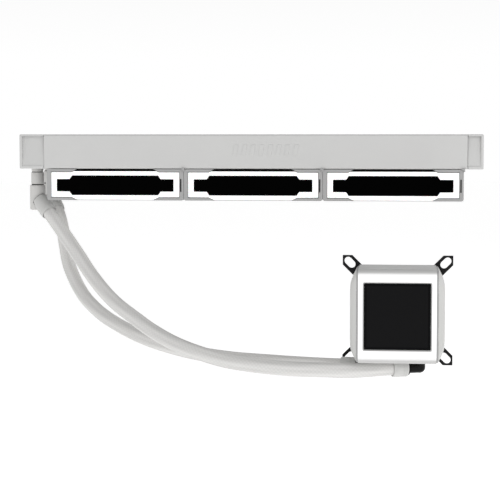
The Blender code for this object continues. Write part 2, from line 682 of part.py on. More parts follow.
def cheek_rings(side, inset):
    """Four outlines of a cheek in the Y, Z plane, each smaller and further out, as (x, points)."""
    steps = ((CHEEK_INNER, 1.2, 0.6), (35.0, 6.2, 2.6), (36.7, 10.0, 5.0), (HEAD_HALF_WIDTH, 15.0, 9.0))
    rings = []
    for x, top_inset, front_inset in steps:
        height = HEAD_HALF_HEIGHT - top_inset - inset
        depth = HEAD_FRONT - front_inset - inset
        corner = 6.0
        points = [(HEAD_BACK - (1.0 if inset else 0.0), -height)]
        points += arc((depth - corner, -height + corner), corner, -90, 0, 3)
        points += arc((depth - corner, height - corner), corner, 0, 90, 3)
        points += [(HEAD_BACK - (1.0 if inset else 0.0), height)]
        overlap = 1.0 if x == CHEEK_INNER else inset
        rings.append((side * (x - overlap if inset else x), points))
    return rings


def lofted(name, rings):
    """A solid through outlines that all have the same number of points."""
    bm = bmesh.new()
    loops = [[bm.verts.new(in_head(x, z, depth) * MM) for depth, z in points] for x, points in rings]
    for first, second in zip(loops, loops[1:]):
        for i in range(len(first)):
            j = (i + 1) % len(first)
            bm.faces.new((first[i], first[j], second[j], second[i]))
    bm.faces.new(loops[0][::-1])
    bm.faces.new(loops[-1])
    bmesh.ops.recalc_face_normals(bm, faces=bm.faces)
    return new_object(name, mesh_from(name, bm))


for name, side in (("left_cheek", -1), ("right_cheek", 1)):
    cheek = lofted(name, cheek_rings(side, 0.0))
    cut(cheek, lofted(f"{name}_hollow", cheek_rings(side, 1.8)))
    finished(cheek, "white_plastic")


def pump_elbow(side, port_x, angle):
    """The elbow under the head, its flange, and the collar round the hose's other end."""
    corner = Vector((port_x, PUMP_BACK_Y - PUMP_PORT_DEPTH, PUMP_PORT_DROP))
    along = Vector((-math.cos(angle), -math.sin(angle), 0.0))
    elbow = rod(f"{side}_pump_elbow", 4.7, corner, (corner.x, corner.y, -174.5), 12)
    bm = bmesh.new()
    bmesh.ops.create_uvsphere(bm, u_segments=14, v_segments=7, radius=5.05 * MM)
    ball_mesh = mesh_from(f"{side}_elbow_corner", bm)
    ball = new_object(f"{side}_elbow_corner", ball_mesh, corner, (0, math.pi / 2, -angle))
    arm = rod(f"{side}_elbow_arm", 4.6, corner, corner + along * 16.2, 12)
    flange = rod(f"{side}_elbow_flange", 6.2, corner + along * 9.6, corner + along * 10.9, 14)
    joined(elbow, ball, arm, flange)
    finished(elbow, "black_steel")
    collar = rod(f"{side}_pump_collar", COLLAR_RADIUS, corner + along * 11.2, corner + along * 23.6, 18)
    bore = rod(f"{side}_pump_bore", COLLAR_BORE, corner + along * 10.5, corner + along * 24.5, 16)
    cut(collar, bore)
    finished(collar, "white_plastic")
    return corner, along


front_corner, front_away = pump_elbow("front", FRONT_HOSE_PORT_X, FRONT_HOSE_ANGLE)
rear_corner, rear_away = pump_elbow("rear", REAR_HOSE_PORT_X, REAR_HOSE_ANGLE)


# ------------------------------------------------------------------ hoses
def smooth_route(points, spacing):
    """Points at an even spacing along one smooth curve through the route's own points."""
    points = [Vector(point) for point in points]
    knots = [0.0]
    for first, second in zip(points, points[1:]):
        knots.append(knots[-1] + (second - first).length)
    slopes = [(points[1] - points[0]) / knots[1]]
    for i in range(1, len(points) - 1):
        before, after = knots[i] - knots[i - 1], knots[i + 1] - knots[i]
        back, ahead = (points[i] - points[i - 1]) / before, (points[i + 1] - points[i]) / after
        slopes.append((back * after + ahead * before) / (before + after))
    slopes.append((points[-1] - points[-2]) / (knots[-1] - knots[-2]))
    count = round(knots[-1] / spacing)
    result = []
    for step in range(count + 1):
        at = knots[-1] * step / count
        i = min(max(k for k, knot in enumerate(knots) if knot <= at), len(points) - 2)
        span = knots[i + 1] - knots[i]
        t = (at - knots[i]) / span
        place = points[i] * (2 * t**3 - 3 * t**2 + 1) + slopes[i] * span * (t**3 - 2 * t**2 + t)
        place += points[i + 1] * (3 * t**2 - 2 * t**3) + slopes[i + 1] * span * (t**3 - t**2)
        result.append(place)
    return result


FRONT_HOSE_ROUTE = [
    (-169, -48, -85), (-152, -64, -104), (-137, -79, -121), (-114, -100, -141), (-95, -116, -152),
    (-74, -132, -163), (-54, -145, -171), (-32, -156, -177),
    (-14, -162, -181), (12, -168, -184), (38, -170, -186),
    (63, -167, -187), (88, -161, -188),
]
REAR_HOSE_ROUTE = [
    (-180, 4, -87), (-176, -2, -103), (-172, -9, -116), (-164, -20, -130), (-152, -35, -144),
    (-135, -52, -156), (-113, -70, -166), (-89, -87, -174),
    (-65, -101, -179), (-36, -115, -183), (-10, -124, -185),
    (20, -131, -186), (50, -135, -187),
]


def hose(name, start, away_from_start, route, end, away_from_end):
    """A sleeved hose from one collar's bore to the other's, straight where it leaves each."""
    points = [start + away_from_start * HOSE_START, start + away_from_start * (COLLAR_END + 2)]
    points += route
    points += [end + away_from_end * 25.0, end + away_from_end * 17.3]
    curve = bpy.data.curves.new(name, "CURVE")
    curve.dimensions = "3D"
    curve.bevel_depth = HOSE_RADIUS * MM
    curve.bevel_resolution = 2
    curve.use_fill_caps = True
    places = smooth_route(points, HOSE_POINT_SPACING)
    spline = curve.splines.new("POLY")
    spline.points.add(len(places) - 1)
    for point, place in zip(spline.points, places):
        point.co = (*(place * MM), 1.0)
    drawn = bpy.data.objects.new(f"{name}_line", curve)
    MODEL.objects.link(drawn)
    mesh = evaluated_mesh(drawn)
    bpy.data.objects.remove(drawn)
    bm = bmesh.new()
    bm.from_mesh(mesh)
    bmesh.ops.remove_doubles(bm, verts=bm.verts, dist=0.00001)
    bm.to_mesh(mesh)
    bm.free()
    return finished(new_object(name, mesh), "hose_sleeve")


hose("front_hose", front_centre, front_along, FRONT_HOSE_ROUTE, front_corner, front_away)
hose("rear_hose", rear_centre, rear_along, REAR_HOSE_ROUTE, rear_corner, rear_away)
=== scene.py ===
"""The looks of a liquid cooling radiator: radiator, three fans, two sleeved hoses and a pump head.

Sizes are written in millimetres and turned into metres where a mesh is made. +Z is up, the
radiator's top face is at Z 0, and the screen of the pump head faces -Y.
"""
import math

import bmesh
import bpy
import numpy as np
from mathutils import Matrix, Vector


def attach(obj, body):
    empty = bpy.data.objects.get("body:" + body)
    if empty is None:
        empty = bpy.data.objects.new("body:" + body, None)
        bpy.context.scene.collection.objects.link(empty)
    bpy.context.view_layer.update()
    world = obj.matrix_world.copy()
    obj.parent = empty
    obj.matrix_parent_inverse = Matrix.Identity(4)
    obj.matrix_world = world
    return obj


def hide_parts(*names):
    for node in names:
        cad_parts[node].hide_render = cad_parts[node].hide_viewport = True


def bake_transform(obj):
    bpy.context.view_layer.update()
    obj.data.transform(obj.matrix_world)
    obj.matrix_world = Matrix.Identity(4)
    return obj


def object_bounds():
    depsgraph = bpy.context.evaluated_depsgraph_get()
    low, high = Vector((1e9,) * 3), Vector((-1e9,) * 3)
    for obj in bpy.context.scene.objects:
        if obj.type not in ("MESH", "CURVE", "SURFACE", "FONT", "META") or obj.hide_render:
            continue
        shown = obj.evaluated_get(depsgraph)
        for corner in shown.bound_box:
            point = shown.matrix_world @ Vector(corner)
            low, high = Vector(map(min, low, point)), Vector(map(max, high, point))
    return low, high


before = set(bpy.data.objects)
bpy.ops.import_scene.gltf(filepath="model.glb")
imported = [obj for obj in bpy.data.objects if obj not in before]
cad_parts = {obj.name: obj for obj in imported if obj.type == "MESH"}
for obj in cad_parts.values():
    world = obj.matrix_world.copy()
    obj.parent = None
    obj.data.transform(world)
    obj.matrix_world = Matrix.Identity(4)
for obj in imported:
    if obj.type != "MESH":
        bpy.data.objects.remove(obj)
cad_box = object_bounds()
MM = 0.001


# ------------------------------------------------------------------ camera, floor and light
# A long lens at 1.4 m, a little to the right and level with the radiator, in a white room
# with a dim ceiling. The floor is pale card, lit from all round.
def add_node(tree, kind, inputs=(), **settings):
    """Adds one node with its settings, its inputs given as values or as sockets to link."""
    node = tree.nodes.new(kind)
    for name, value in settings.items():
        setattr(node, name, value)
    for key, value in dict(inputs).items():
        if isinstance(value, bpy.types.NodeSocket):
            tree.links.new(value, node.inputs[key])
        else:
            node.inputs[key].default_value = value
    return node


def linear(code):
    """A colour written as sRGB hex, turned linear."""
    parts = [int(code[i : i + 2], 16) / 255 for i in (1, 3, 5)]
    return (*(c / 12.92 if c <= 0.04045 else ((c + 0.055) / 1.055) ** 2.4 for c in parts), 1.0)


lens = bpy.data.cameras.new("camera")
lens.sensor_width = 36.0
lens.lens = 115.15
lens.clip_end = 50.0
camera = bpy.data.objects.new("camera", lens)
camera.location = (0.12986, -1.42847, -0.003)
camera.rotation_euler = (math.radians(85.99), 0.0, math.radians(5.52))
bpy.context.scene.collection.objects.link(camera)
bpy.context.scene.camera = camera
bpy.context.scene.view_settings.view_transform = "Standard"

room = bpy.data.worlds.new("studio")
room.use_nodes = True
bpy.context.scene.world = room
sky = add_node(room.node_tree, "ShaderNodeTexCoord")
upward = add_node(room.node_tree, "ShaderNodeSeparateXYZ", {0: sky.outputs["Generated"]})
dimming = add_node(
    room.node_tree, "ShaderNodeMapRange",
    {"Value": upward.outputs["Z"], "From Min": 0.05, "From Max": 0.9, "To Min": 1.0, "To Max": 0.3},
)
backdrop = room.node_tree.nodes["Background"]
room.node_tree.links.new(dimming.outputs[0], backdrop.inputs["Color"])
backdrop.inputs["Strength"].default_value = 1.0

LAMPS = (("key", (0.7, -1.7, 0.7), 7.0, 1.1), ("rim", (1.3, 0.9, 0.9), 5.0, 0.8))
for lamp_name, place, power, size in LAMPS:
    glow = bpy.data.lights.new(lamp_name, "AREA")
    glow.energy = power
    glow.size = size
    lamp = bpy.data.objects.new(lamp_name, glow)
    lamp.location = place
    lamp.rotation_euler = (Vector((0, 0, -0.08)) - Vector(place)).to_track_quat("-Z", "Y").to_euler()
    bpy.context.scene.collection.objects.link(lamp)

FLOOR_RADIUS = 9.0
FLOOR_DROP = 0.09
floor_mesh = bpy.data.meshes.new("floor")
bm = bmesh.new()
bmesh.ops.create_circle(bm, cap_ends=True, segments=64, radius=FLOOR_RADIUS)
bmesh.ops.translate(bm, vec=(0, 0, cad_box[0][2] - FLOOR_DROP), verts=bm.verts)
bm.to_mesh(floor_mesh)
bm.free()
floor = bpy.data.objects.new("floor", floor_mesh)
bpy.context.scene.collection.objects.link(floor)
card = bpy.data.materials.new("pale_card")
card.use_nodes = True
card_shader = card.node_tree.nodes["Principled BSDF"]
card_shader.inputs["Base Color"].default_value = linear("#FAFAFA")
card_shader.inputs["Roughness"].default_value = 0.9
card_shader.inputs["Emission Color"].default_value = (1, 1, 1, 1)
card_shader.inputs["Emission Strength"].default_value = 0.5
floor_mesh.materials.append(card)


# ------------------------------------------------------------------ hoses
# Two rubber hoses, 12 mm thick, each pulled into a braided polyester sleeve. Both ends are
# pushed over barbs and held by collars. The braid's pitch is drawn coarser than the real
# 0.5 mm, which would not show.
def smooth_route(points, spacing):
    """Points at an even spacing along one smooth curve through the route's own points."""
    points = [Vector(point) for point in points]
    knots = [0.0]
    for first, second in zip(points, points[1:]):
        knots.append(knots[-1] + (second - first).length)
    slopes = [(points[1] - points[0]) / knots[1]]
    for i in range(1, len(points) - 1):
        before, after = knots[i] - knots[i - 1], knots[i + 1] - knots[i]
        back, ahead = (points[i] - points[i - 1]) / before, (points[i + 1] - points[i]) / after
        slopes.append((back * after + ahead * before) / (before + after))
    slopes.append((points[-1] - points[-2]) / (knots[-1] - knots[-2]))
    count = round(knots[-1] / spacing)
    result, i = [], 0
    for step in range(count + 1):
        at = knots[-1] * step / count
        while i < len(points) - 2 and knots[i + 1] <= at:
            i += 1
        span = knots[i + 1] - knots[i]
        t = (at - knots[i]) / span
        place = points[i] * (2 * t**3 - 3 * t**2 + 1) + slopes[i] * span * (t**3 - 2 * t**2 + t)
        place += points[i + 1] * (3 * t**2 - 2 * t**3) + slopes[i + 1] * span * (t**3 - t**2)
        result.append(place)
    return result


def new_piece(name, mesh):
    piece = bpy.data.objects.new(name, mesh)
    bpy.context.scene.collection.objects.link(piece)
    return piece


def tube(name, places, radius, sides, relief=None):
    """A closed round tube through places; relief(turn, run) is how far it stands out, both arrays."""
    line = np.array([tuple(place) for place in places])
    run = np.concatenate([[0.0], np.cumsum(np.linalg.norm(np.diff(line, axis=0), axis=1))])
    along = np.gradient(line, axis=0)
    along /= np.linalg.norm(along, axis=1)[:, None]
    normal = np.cross(along[0], (0.0, 0.0, 1.0))
    if np.linalg.norm(normal) < 0.1:
        normal = np.array((1.0, 0.0, 0.0))
    normals = []
    for direction in along:
        normal = normal - direction * np.dot(normal, direction)
        normal /= np.linalg.norm(normal)
        normals.append(normal)
    normals = np.array(normals)
    binormals = np.cross(along, normals)
    turn, reach = np.meshgrid(np.arange(sides) / sides, run)
    height = relief(turn, reach) if relief else np.zeros_like(turn)
    swing = 2 * np.pi * turn[..., None]
    out = np.cos(swing) * normals[:, None, :] + np.sin(swing) * binormals[:, None, :]
    points = (line[:, None, :] + (radius + height)[..., None] * out).reshape(-1, 3) * MM
    faces = []
    for i in range(len(line) - 1):
        for j in range(sides):
            k = (j + 1) % sides
            faces.append((i * sides + j, i * sides + k, (i + 1) * sides + k, (i + 1) * sides + j))
    last = (len(line) - 1) * sides
    faces += [tuple(range(sides - 1, -1, -1)), tuple(range(last, last + sides))]
    mesh = bpy.data.meshes.new(name)
    mesh.from_pydata(points.tolist(), [], faces)
    chart = mesh.uv_layers.new(name="sleeve")
    corners = np.zeros(len(mesh.loops), int)
    mesh.loops.foreach_get("vertex_index", corners)
    flat = np.stack([turn.reshape(-1)[corners], reach.reshape(-1)[corners] * MM], axis=1)
    starts = np.arange(0, (len(line) - 1) * sides * 4, 4)
    wraps = np.arange(len(starts)) % sides == sides - 1
    for offset in (1, 2):
        flat[starts[wraps] + offset, 0] = 1.0
    chart.data.foreach_set("uv", flat.reshape(-1))
    level = mesh.attributes.new("relief", "FLOAT", "POINT")
    level.data.foreach_set("value", (height.reshape(-1) / max(np.abs(height).max(), 1e-6)).astype(np.float32))
    return new_piece(name, mesh)


def new_material(name, values):
    """A material with its Principled shader's plain inputs set; the tree and the shader come back too."""
    material = bpy.data.materials.new(name)
    material.use_nodes = True
    shader = material.node_tree.nodes["Principled BSDF"]
    for key, value in values.items():
        shader.inputs[key].default_value = value
    return material, material.node_tree, shader


# Braided polyester sleeve: a pale warm grey thread, satin, with painted shade: the colour darkens where the
# relief is low, in the gaps of the braid and in the creases.
BRAID_CARRIERS = 12
HOSE_RADIUS = 6.0
BRAID_PITCH = 2 * math.pi * HOSE_RADIUS / BRAID_CARRIERS
BRAID_HEIGHT = 0.07
CREASE_HEIGHT = 0.06
THREAD = 0.0009


def braid(turn, run):
    over, under = BRAID_CARRIERS * turn + run / BRAID_PITCH, BRAID_CARRIERS * turn - run / BRAID_PITCH
    diamonds = np.abs(np.sin(np.pi * over) * np.sin(np.pi * under))
    creases = np.cos(2 * np.pi * (5 * turn + run / 130.0)) + 0.5 * np.cos(2 * np.pi * (9 * turn - run / 90.0))
    return BRAID_HEIGHT * (diamonds - 0.5) + CREASE_HEIGHT * creases / 1.5


sleeve, tree, shader = new_material(
    "braided_polyester_sleeve",
    {"Roughness": 0.72, "Sheen Weight": 0.25, "Sheen Roughness": 0.5, "Specular IOR Level": 0.35},
)
chart = add_node(tree, "ShaderNodeUVMap", uv_map="sleeve")
unrolled = add_node(
    tree, "ShaderNodeMapping",
    {"Vector": chart.outputs[0], "Scale": (2 * math.pi * HOSE_RADIUS * MM, 1.0, 1.0)},
)
height = add_node(tree, "ShaderNodeAttribute", attribute_name="relief")
# Painted shade: the low places of the braid and its creases take the darker grey.
shade = add_node(
    tree, "ShaderNodeMapRange",
    {"Value": height.outputs["Fac"], "From Min": -1.0, "From Max": 0.6, "To Min": 0.0, "To Max": 1.0},
)
tone = add_node(
    tree, "ShaderNodeMix",
    {"Factor": shade.outputs[0], "A": linear("#C8C7C5"), "B": linear("#DEDDDB")}, data_type="RGBA",
)
tree.links.new(tone.outputs["Result"], shader.inputs["Base Color"])
threads = []
for lean in (1, -1):
    leaned = add_node(
        tree, "ShaderNodeMapping", {
            "Vector": unrolled.outputs[0], "Rotation": (0, 0, lean * math.radians(45))
        }
    )
    threads.append(add_node(
        tree, "ShaderNodeTexWave", {
            "Vector": leaned.outputs[0], "Scale": math.tau / (20 * THREAD), "Distortion": 0.4
        }
    ))
cross = add_node(
    tree, "ShaderNodeMath", {0: threads[0].outputs["Fac"], 1: threads[1].outputs["Fac"]}, operation="MAXIMUM"
)
bump = add_node(tree, "ShaderNodeBump", {"Height": cross.outputs[0], "Strength": 0.5, "Distance": 0.00008})
tree.links.new(bump.outputs[0], shader.inputs["Normal"])

# The places where the hoses start and end, and the ways they leave, as the fittings stand.
ELBOW_Z, ELBOW_DROP = -55.5, math.radians(39.0)
PORT_X, PORT_Y = -196.2, 25.0
PUMP_X, PUMP_Z, PUMP_BACK_Y = 124.8, -142.9, -116.0
PUMP_PORT_Y, PUMP_PORT_Z = -138.0, -187.8
HOSE_START, COLLAR_END = 14.3, 22.0


def outlet(turn):
    flat = math.cos(ELBOW_DROP)
    return Vector((flat * math.cos(turn), flat * math.sin(turn), -math.sin(ELBOW_DROP)))


RADIATOR_ENDS = {
    "front": (Vector((PORT_X, -PORT_Y, ELBOW_Z)), outlet(math.radians(-40.0))),
    "rear": (Vector((PORT_X, PORT_Y, ELBOW_Z)), outlet(math.radians(-55.0))),
}
PUMP_ENDS = {
    "front": (Vector((142.8, PUMP_PORT_Y, PUMP_PORT_Z)), math.radians(20.0)),
    "rear": (Vector((102.8, PUMP_PORT_Y, PUMP_PORT_Z)), math.radians(-4.0)),
}
ROUTES = {
    "front": [
        (-169, -48, -85), (-152, -64, -104), (-137, -79, -121), (-114, -100, -141), (-95, -116, -152),
        (-74, -132, -163), (-54, -145, -171), (-32, -156, -177), (-14, -162, -181), (12, -168, -184),
        (38, -170, -186), (63, -167, -187), (88, -161, -188),
    ],
    "rear": [
        (-180, 4, -87), (-176, -2, -103), (-172, -9, -116), (-164, -20, -130), (-152, -35, -144),
        (-135, -52, -156), (-113, -70, -166), (-89, -87, -174), (-65, -101, -179), (-36, -115, -183),
        (-10, -124, -185), (20, -131, -186), (50, -135, -187),
    ],
}
for side, route in ROUTES.items():
    start, leaving = RADIATOR_ENDS[side]
    corner, angle = PUMP_ENDS[side]
    away = Vector((-math.cos(angle), -math.sin(angle), 0.0))
    knots = [start + leaving * HOSE_START, start + leaving * (COLLAR_END + 2)]
    knots += [Vector(point) for point in route] + [corner + away * 25.0, corner + away * 17.3]
    places = smooth_route(knots, 0.62)
    hose = tube(f"{side}_hose_sleeve", places, HOSE_RADIUS, 72, braid)
    hose.data.materials.append(sleeve)
    hose.data.shade_smooth()
    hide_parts(f"{side}_hose")
    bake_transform(hose)
    line = [place * MM for place in smooth_route(knots, 6.0)]


# ------------------------------------------------------------------ radiator
# Two cast aluminium tanks, a brazed core of flat tubes and folded fins between them, and a
# folded sheet channel along each side. All of it is powder coated white.
def piece_of(name, bm):
    """Turns a finished bmesh into a named piece."""
    mesh = bpy.data.meshes.new(name)
    bm.to_mesh(mesh)
    bm.free()
    return new_piece(name, mesh)


def evaluated_mesh(piece):
    graph = bpy.context.evaluated_depsgraph_get()
    return bpy.data.meshes.new_from_object(piece.evaluated_get(graph))


def settle(piece):
    """Gives a piece the mesh that its modifiers make, with its place in the mesh."""
    bpy.context.view_layer.update()
    mesh = evaluated_mesh(piece)
    mesh.transform(piece.matrix_world)
    piece.modifiers.clear()
    piece.data = mesh
    piece.matrix_world = Matrix.Identity(4)
    return piece


def eased(piece, width, segments=2, angle=30.0):
    """Rounds the piece's sharp edges."""
    bevel = piece.modifiers.new("eased", "BEVEL")
    bevel.width = width * MM
    bevel.segments = segments
    bevel.limit_method = "ANGLE"
    bevel.angle_limit = math.radians(angle)
    bevel.use_clamp_overlap = True
    return settle(piece)


def carved(piece, *cutters, operation="DIFFERENCE"):
    for cutter in cutters:
        modifier = piece.modifiers.new(cutter.name, "BOOLEAN")
        modifier.operation = operation
        modifier.object = cutter
        modifier.solver = "EXACT"
    settle(piece)
    for cutter in cutters:
        bpy.data.objects.remove(cutter)
    return piece


def flattened(piece):
    """Merges doubled points and the triangles of each flat face, so that its edges can be rounded."""
    bm = bmesh.new()
    bm.from_mesh(piece.data)
    bmesh.ops.remove_doubles(bm, verts=bm.verts, dist=0.000005)
    bmesh.ops.dissolve_limit(bm, angle_limit=math.radians(0.5), verts=bm.verts, edges=bm.edges)
    bm.to_mesh(piece.data)
    bm.free()
    return piece


def block(name, low, high):
    bm = bmesh.new()
    bmesh.ops.create_cube(bm, size=1.0)
    size = Vector(high) - Vector(low)
    bmesh.ops.scale(bm, vec=size * MM, verts=bm.verts)
    bmesh.ops.translate(bm, vec=(Vector(low) + Vector(high)) / 2 * MM, verts=bm.verts)
    return piece_of(name, bm)


def turned(name, profile, base, axis, sides=48):
    """A turned piece; its (radius, height) profile is closed through the axis, or on itself."""
    axis = Vector(axis).normalized()
    across = axis.orthogonal().normalized()
    other = axis.cross(across)
    bm = bmesh.new()
    rings = []
    for radius, height in profile:
        middle = Vector(base) + axis * height
        if radius == 0:
            rings.append([bm.verts.new(middle * MM)])
            continue
        ring = []
        for i in range(sides):
            swing = math.tau * i / sides
            ring.append(
                bm.verts.new((middle + (across * math.cos(swing) + other * math.sin(swing)) * radius) * MM)
            )
        rings.append(ring)
    pairs = list(zip(rings, rings[1:]))
    if profile[0][0] > 0:
        pairs.append((rings[-1], rings[0]))
    for first, second in pairs:
        for i in range(sides):
            j = (i + 1) % sides
            corners = [
                first[i % len(first)], first[j % len(first)], second[j % len(second)],
                second[i % len(second)]
            ]
            bm.faces.new(list(dict.fromkeys(corners)))
    bmesh.ops.recalc_face_normals(bm, faces=bm.faces)
    return piece_of(name, bm)


def plate(name, outlines, low, high, place):
    """A flat piece over drawn outlines, from one height to another; place turns x, y, height into X, Y, Z."""
    curve = bpy.data.curves.new(name, "CURVE")
    curve.dimensions = "2D"
    curve.fill_mode = "BOTH"
    curve.extrude = (high - low) / 2 * MM
    for outline in outlines:
        spline = curve.splines.new("POLY")
        spline.points.add(len(outline) - 1)
        for point, (x, y) in zip(spline.points, outline):
            point.co = (x * MM, y * MM, 0.0, 1.0)
        spline.use_cyclic_u = True
    drawn = new_piece(f"{name}_outline", curve)
    mesh = evaluated_mesh(drawn)
    bpy.data.objects.remove(drawn)
    bm = bmesh.new()
    bm.from_mesh(mesh)
    bmesh.ops.remove_doubles(bm, verts=bm.verts, dist=0.000002)
    for corner in bm.verts:
        x, y, z = corner.co / MM
        corner.co = Vector(place(x, y, z + (high + low) / 2)) * MM
    bm.normal_update()
    bmesh.ops.dissolve_limit(bm, angle_limit=math.radians(0.5), verts=bm.verts, edges=bm.edges)
    bmesh.ops.recalc_face_normals(bm, faces=bm.faces)
    bm.to_mesh(mesh)
    bm.free()
    return new_piece(name, mesh)


def arc(centre, radius, first, last, steps):
    angles = [math.radians(first + (last - first) * i / steps) for i in range(steps + 1)]
    return [(centre[0] + radius * math.cos(a), centre[1] + radius * math.sin(a)) for a in angles]


def ring_outline(centre, radius, steps):
    return arc(centre, radius, 0, 360 - 360 / steps, steps - 1)


def dress(piece, material, body, slot, *nodes):
    """Gives a piece its material and shading, sets it on its body, and hides the CAD nodes it stands for."""
    piece.data.materials.clear()
    piece.data.materials.append(material)
    piece.data.shade_smooth()
    piece.data.set_sharp_from_angle(angle=math.radians(32))
    evened = piece.modifiers.new("evened", "WEIGHTED_NORMAL")
    evened.keep_sharp = True
    settle(piece)
    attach(piece, body)
    if nodes:
        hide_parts(*nodes)
    return piece


def softened(node, material, body, slot, width=0.35):
    """A CAD node's own shape with its edges rounded."""
    piece = new_piece(f"{node}_shell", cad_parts[node].data.copy())
    return dress(eased(flattened(piece), width), material, body, slot, node)


def grained(name, colour, roughness, grain, depth, drift=0.03, values=()):
    """An evenly finished surface: the colour drifts slightly, and a fine grain shows in bump and gloss."""
    material, tree, shader = new_material(name, {"Roughness": roughness, **dict(values)})
    where = add_node(tree, "ShaderNodeTexCoord").outputs["Object"]
    cloud = add_node(tree, "ShaderNodeTexNoise", {"Vector": where, "Scale": 22.0, "Detail": 2.0})
    level = add_node(
        tree, "ShaderNodeMapRange", {"Value": cloud.outputs["Fac"], "To Min": 1 - drift, "To Max": 1 + drift}
    )
    toned = add_node(
        tree, "ShaderNodeVectorMath", {0: linear(colour)[:3], "Scale": level.outputs[0]}, operation="SCALE"
    )
    tree.links.new(toned.outputs[0], shader.inputs["Base Color"])
    fine = add_node(
        tree, "ShaderNodeTexNoise", {
            "Vector": where, "Scale": 1 / (grain * MM), "Detail": 3.0, "Roughness": 0.6
        }
    )
    gloss = add_node(
        tree, "ShaderNodeMapRange",
        {"Value": fine.outputs["Fac"], "To Min": roughness * 0.85, "To Max": min(roughness * 1.15, 1.0)},
    )
    tree.links.new(gloss.outputs[0], shader.inputs["Roughness"])
    bump = add_node(
        tree, "ShaderNodeBump", {"Height": fine.outputs["Fac"], "Strength": 0.6, "Distance": depth * MM}
    )
    tree.links.new(bump.outputs[0], shader.inputs["Normal"])
    return material


# Polyester powder coat on cast aluminium: satin, with a shallow orange peel about 1.5 mm across.
powder_coat = grained("white_powder_coat", "#C8C8C7", 0.42, 1.5, 0.02)
# The same coat on the thin fins, and on the tubes and headers, in a slightly greyer tone than the tanks'.
fin_coat = grained("white_coated_fins", "#C4C4C3", 0.5, 0.8, 0.01)

TANK_HALF, TANK_HEIGHT, TANK_WALL = 60.0, 29.7, 2.0
POCKET_TOP, POCKET_BOTTOM, POCKET_END = 1.6, 2.4, 2.2


def side_view(y, z, x):
    return (x, y, z)


def cast_tank(node, inner_end, outer_end, chambers):
    """A tank with rounded edges, hollow towards the core, and a sloping pocket in each side."""
    side = 1 if outer_end > inner_end else -1
    low, high = sorted((inner_end, outer_end))
    body = block(f"{node}_casting", (low, -TANK_HALF, -TANK_HEIGHT), (high, TANK_HALF, 0.0))
    eased(body, 0.9, 4)
    cuts = []
    low, high = sorted((inner_end - side, outer_end - side * POCKET_END))
    for face in (-1, 1):
        slope = [(61.0, -POCKET_TOP), (56.6, -POCKET_TOP), (59.3, POCKET_BOTTOM - TANK_HEIGHT)]
        slope.append((61.0, POCKET_BOTTOM - TANK_HEIGHT))
        cuts.append(plate(f"{node}_pocket_{face}", [[(face * y, z) for y, z in slope]], low, high, side_view))
    low, high = sorted((inner_end - side, outer_end - side * TANK_WALL))
    for number, (near, far) in enumerate(chambers):
        cuts.append(block(
            f"{node}_chamber_{number}", (low, near, TANK_WALL - TANK_HEIGHT), (high, far, -TANK_WALL)
        ))
    carved(body, *cuts)
    return dress(eased(flattened(body), 0.55, 3, 40), powder_coat, "radiator", "white_paint", node)


cast_tank("port_tank", -182.6, -204.0, [(-54.0, -1.0), (1.0, 54.0)])
cast_tank("return_tank", 183.2, 196.4, [(-54.0, 54.0)])
for node in ("port_header", "return_header"):
    softened(node, fin_coat, "radiator", "aluminium", 0.15)

RADIATOR_HEIGHT, RAIL_WALL = 29.7, 1.4
RAIL_LEFT, RAIL_RIGHT = -182.3, 182.9
RAIL_OUTER, RAIL_INNER = 60.0, 49.0
FAN_X = (-120.0, 0.0, 120.0)
SCREW_REACH = 52.5


def rail_section(face):
    """The folded channel's section in Y, Z, with a round outer fold at top and bottom."""
    fold, steps = 1.6, 4
    outer = arc((RAIL_OUTER - fold, -fold), fold, 90, 0, steps)
    outer += arc((RAIL_OUTER - fold, fold - RADIATOR_HEIGHT), fold, 0, -90, steps)
    low, high = RAIL_WALL - RADIATOR_HEIGHT, -RAIL_WALL
    inner = [(RAIL_INNER, -RADIATOR_HEIGHT), (RAIL_INNER, low), (RAIL_OUTER - RAIL_WALL, low)]
    inner += [(RAIL_OUTER - RAIL_WALL, high), (RAIL_INNER, high), (RAIL_INNER, 0.0)]
    return [(face * y, z) for y, z in outer + inner]


for rail_name, face in (("side_rail_front", -1), ("side_rail_rear", 1)):
    rail = plate(f"{rail_name}_channel", [rail_section(face)], RAIL_LEFT, RAIL_RIGHT, side_view)
    holes = [
        turned(
            f"{rail_name}_hole_{x + end}", [(0, 0), (1.7, 0), (1.7, 40), (0, 40)],
            (x + end, face * SCREW_REACH, -35), (0, 0, 1), 24
        )
        for x in FAN_X for end in (-SCREW_REACH, SCREW_REACH)
    ]
    dress(
        eased(flattened(carved(rail, *holes)), 0.2, 2, 60), powder_coat, "radiator", "white_paint",
        rail_name
    )


# A row of plain raised lozenges in the middle of each rail, pressed into the sheet.
def node_tree(name, sizes):
    """A Geometry Nodes tree with named inputs for its sizes; its first input is the mesh it repeats."""
    tree = bpy.data.node_groups.new(name, "GeometryNodeTree")
    tree.interface.new_socket(name="Geometry", in_out="INPUT", socket_type="NodeSocketGeometry")
    tree.interface.new_socket(name="Geometry", in_out="OUTPUT", socket_type="NodeSocketGeometry")
    for label, value in sizes.items():
        kind = "NodeSocketInt" if isinstance(value, int) else "NodeSocketFloat"
        kind = "NodeSocketVector" if isinstance(value, tuple) else kind
        tree.interface.new_socket(name=label, in_out="INPUT", socket_type=kind)
    return tree, add_node(tree, "NodeGroupInput"), add_node(tree, "NodeGroupOutput")


def grown(piece, tree, sizes):
    """Runs a tree on a piece with these sizes, and keeps what it makes as a plain mesh."""
    modifier = piece.modifiers.new("repeat", "NODES")
    modifier.node_group = tree
    for item in tree.interface.items_tree:
        if item.in_out == "INPUT" and item.name in sizes:
            modifier[item.identifier] = sizes[item.name]
    return settle(piece)


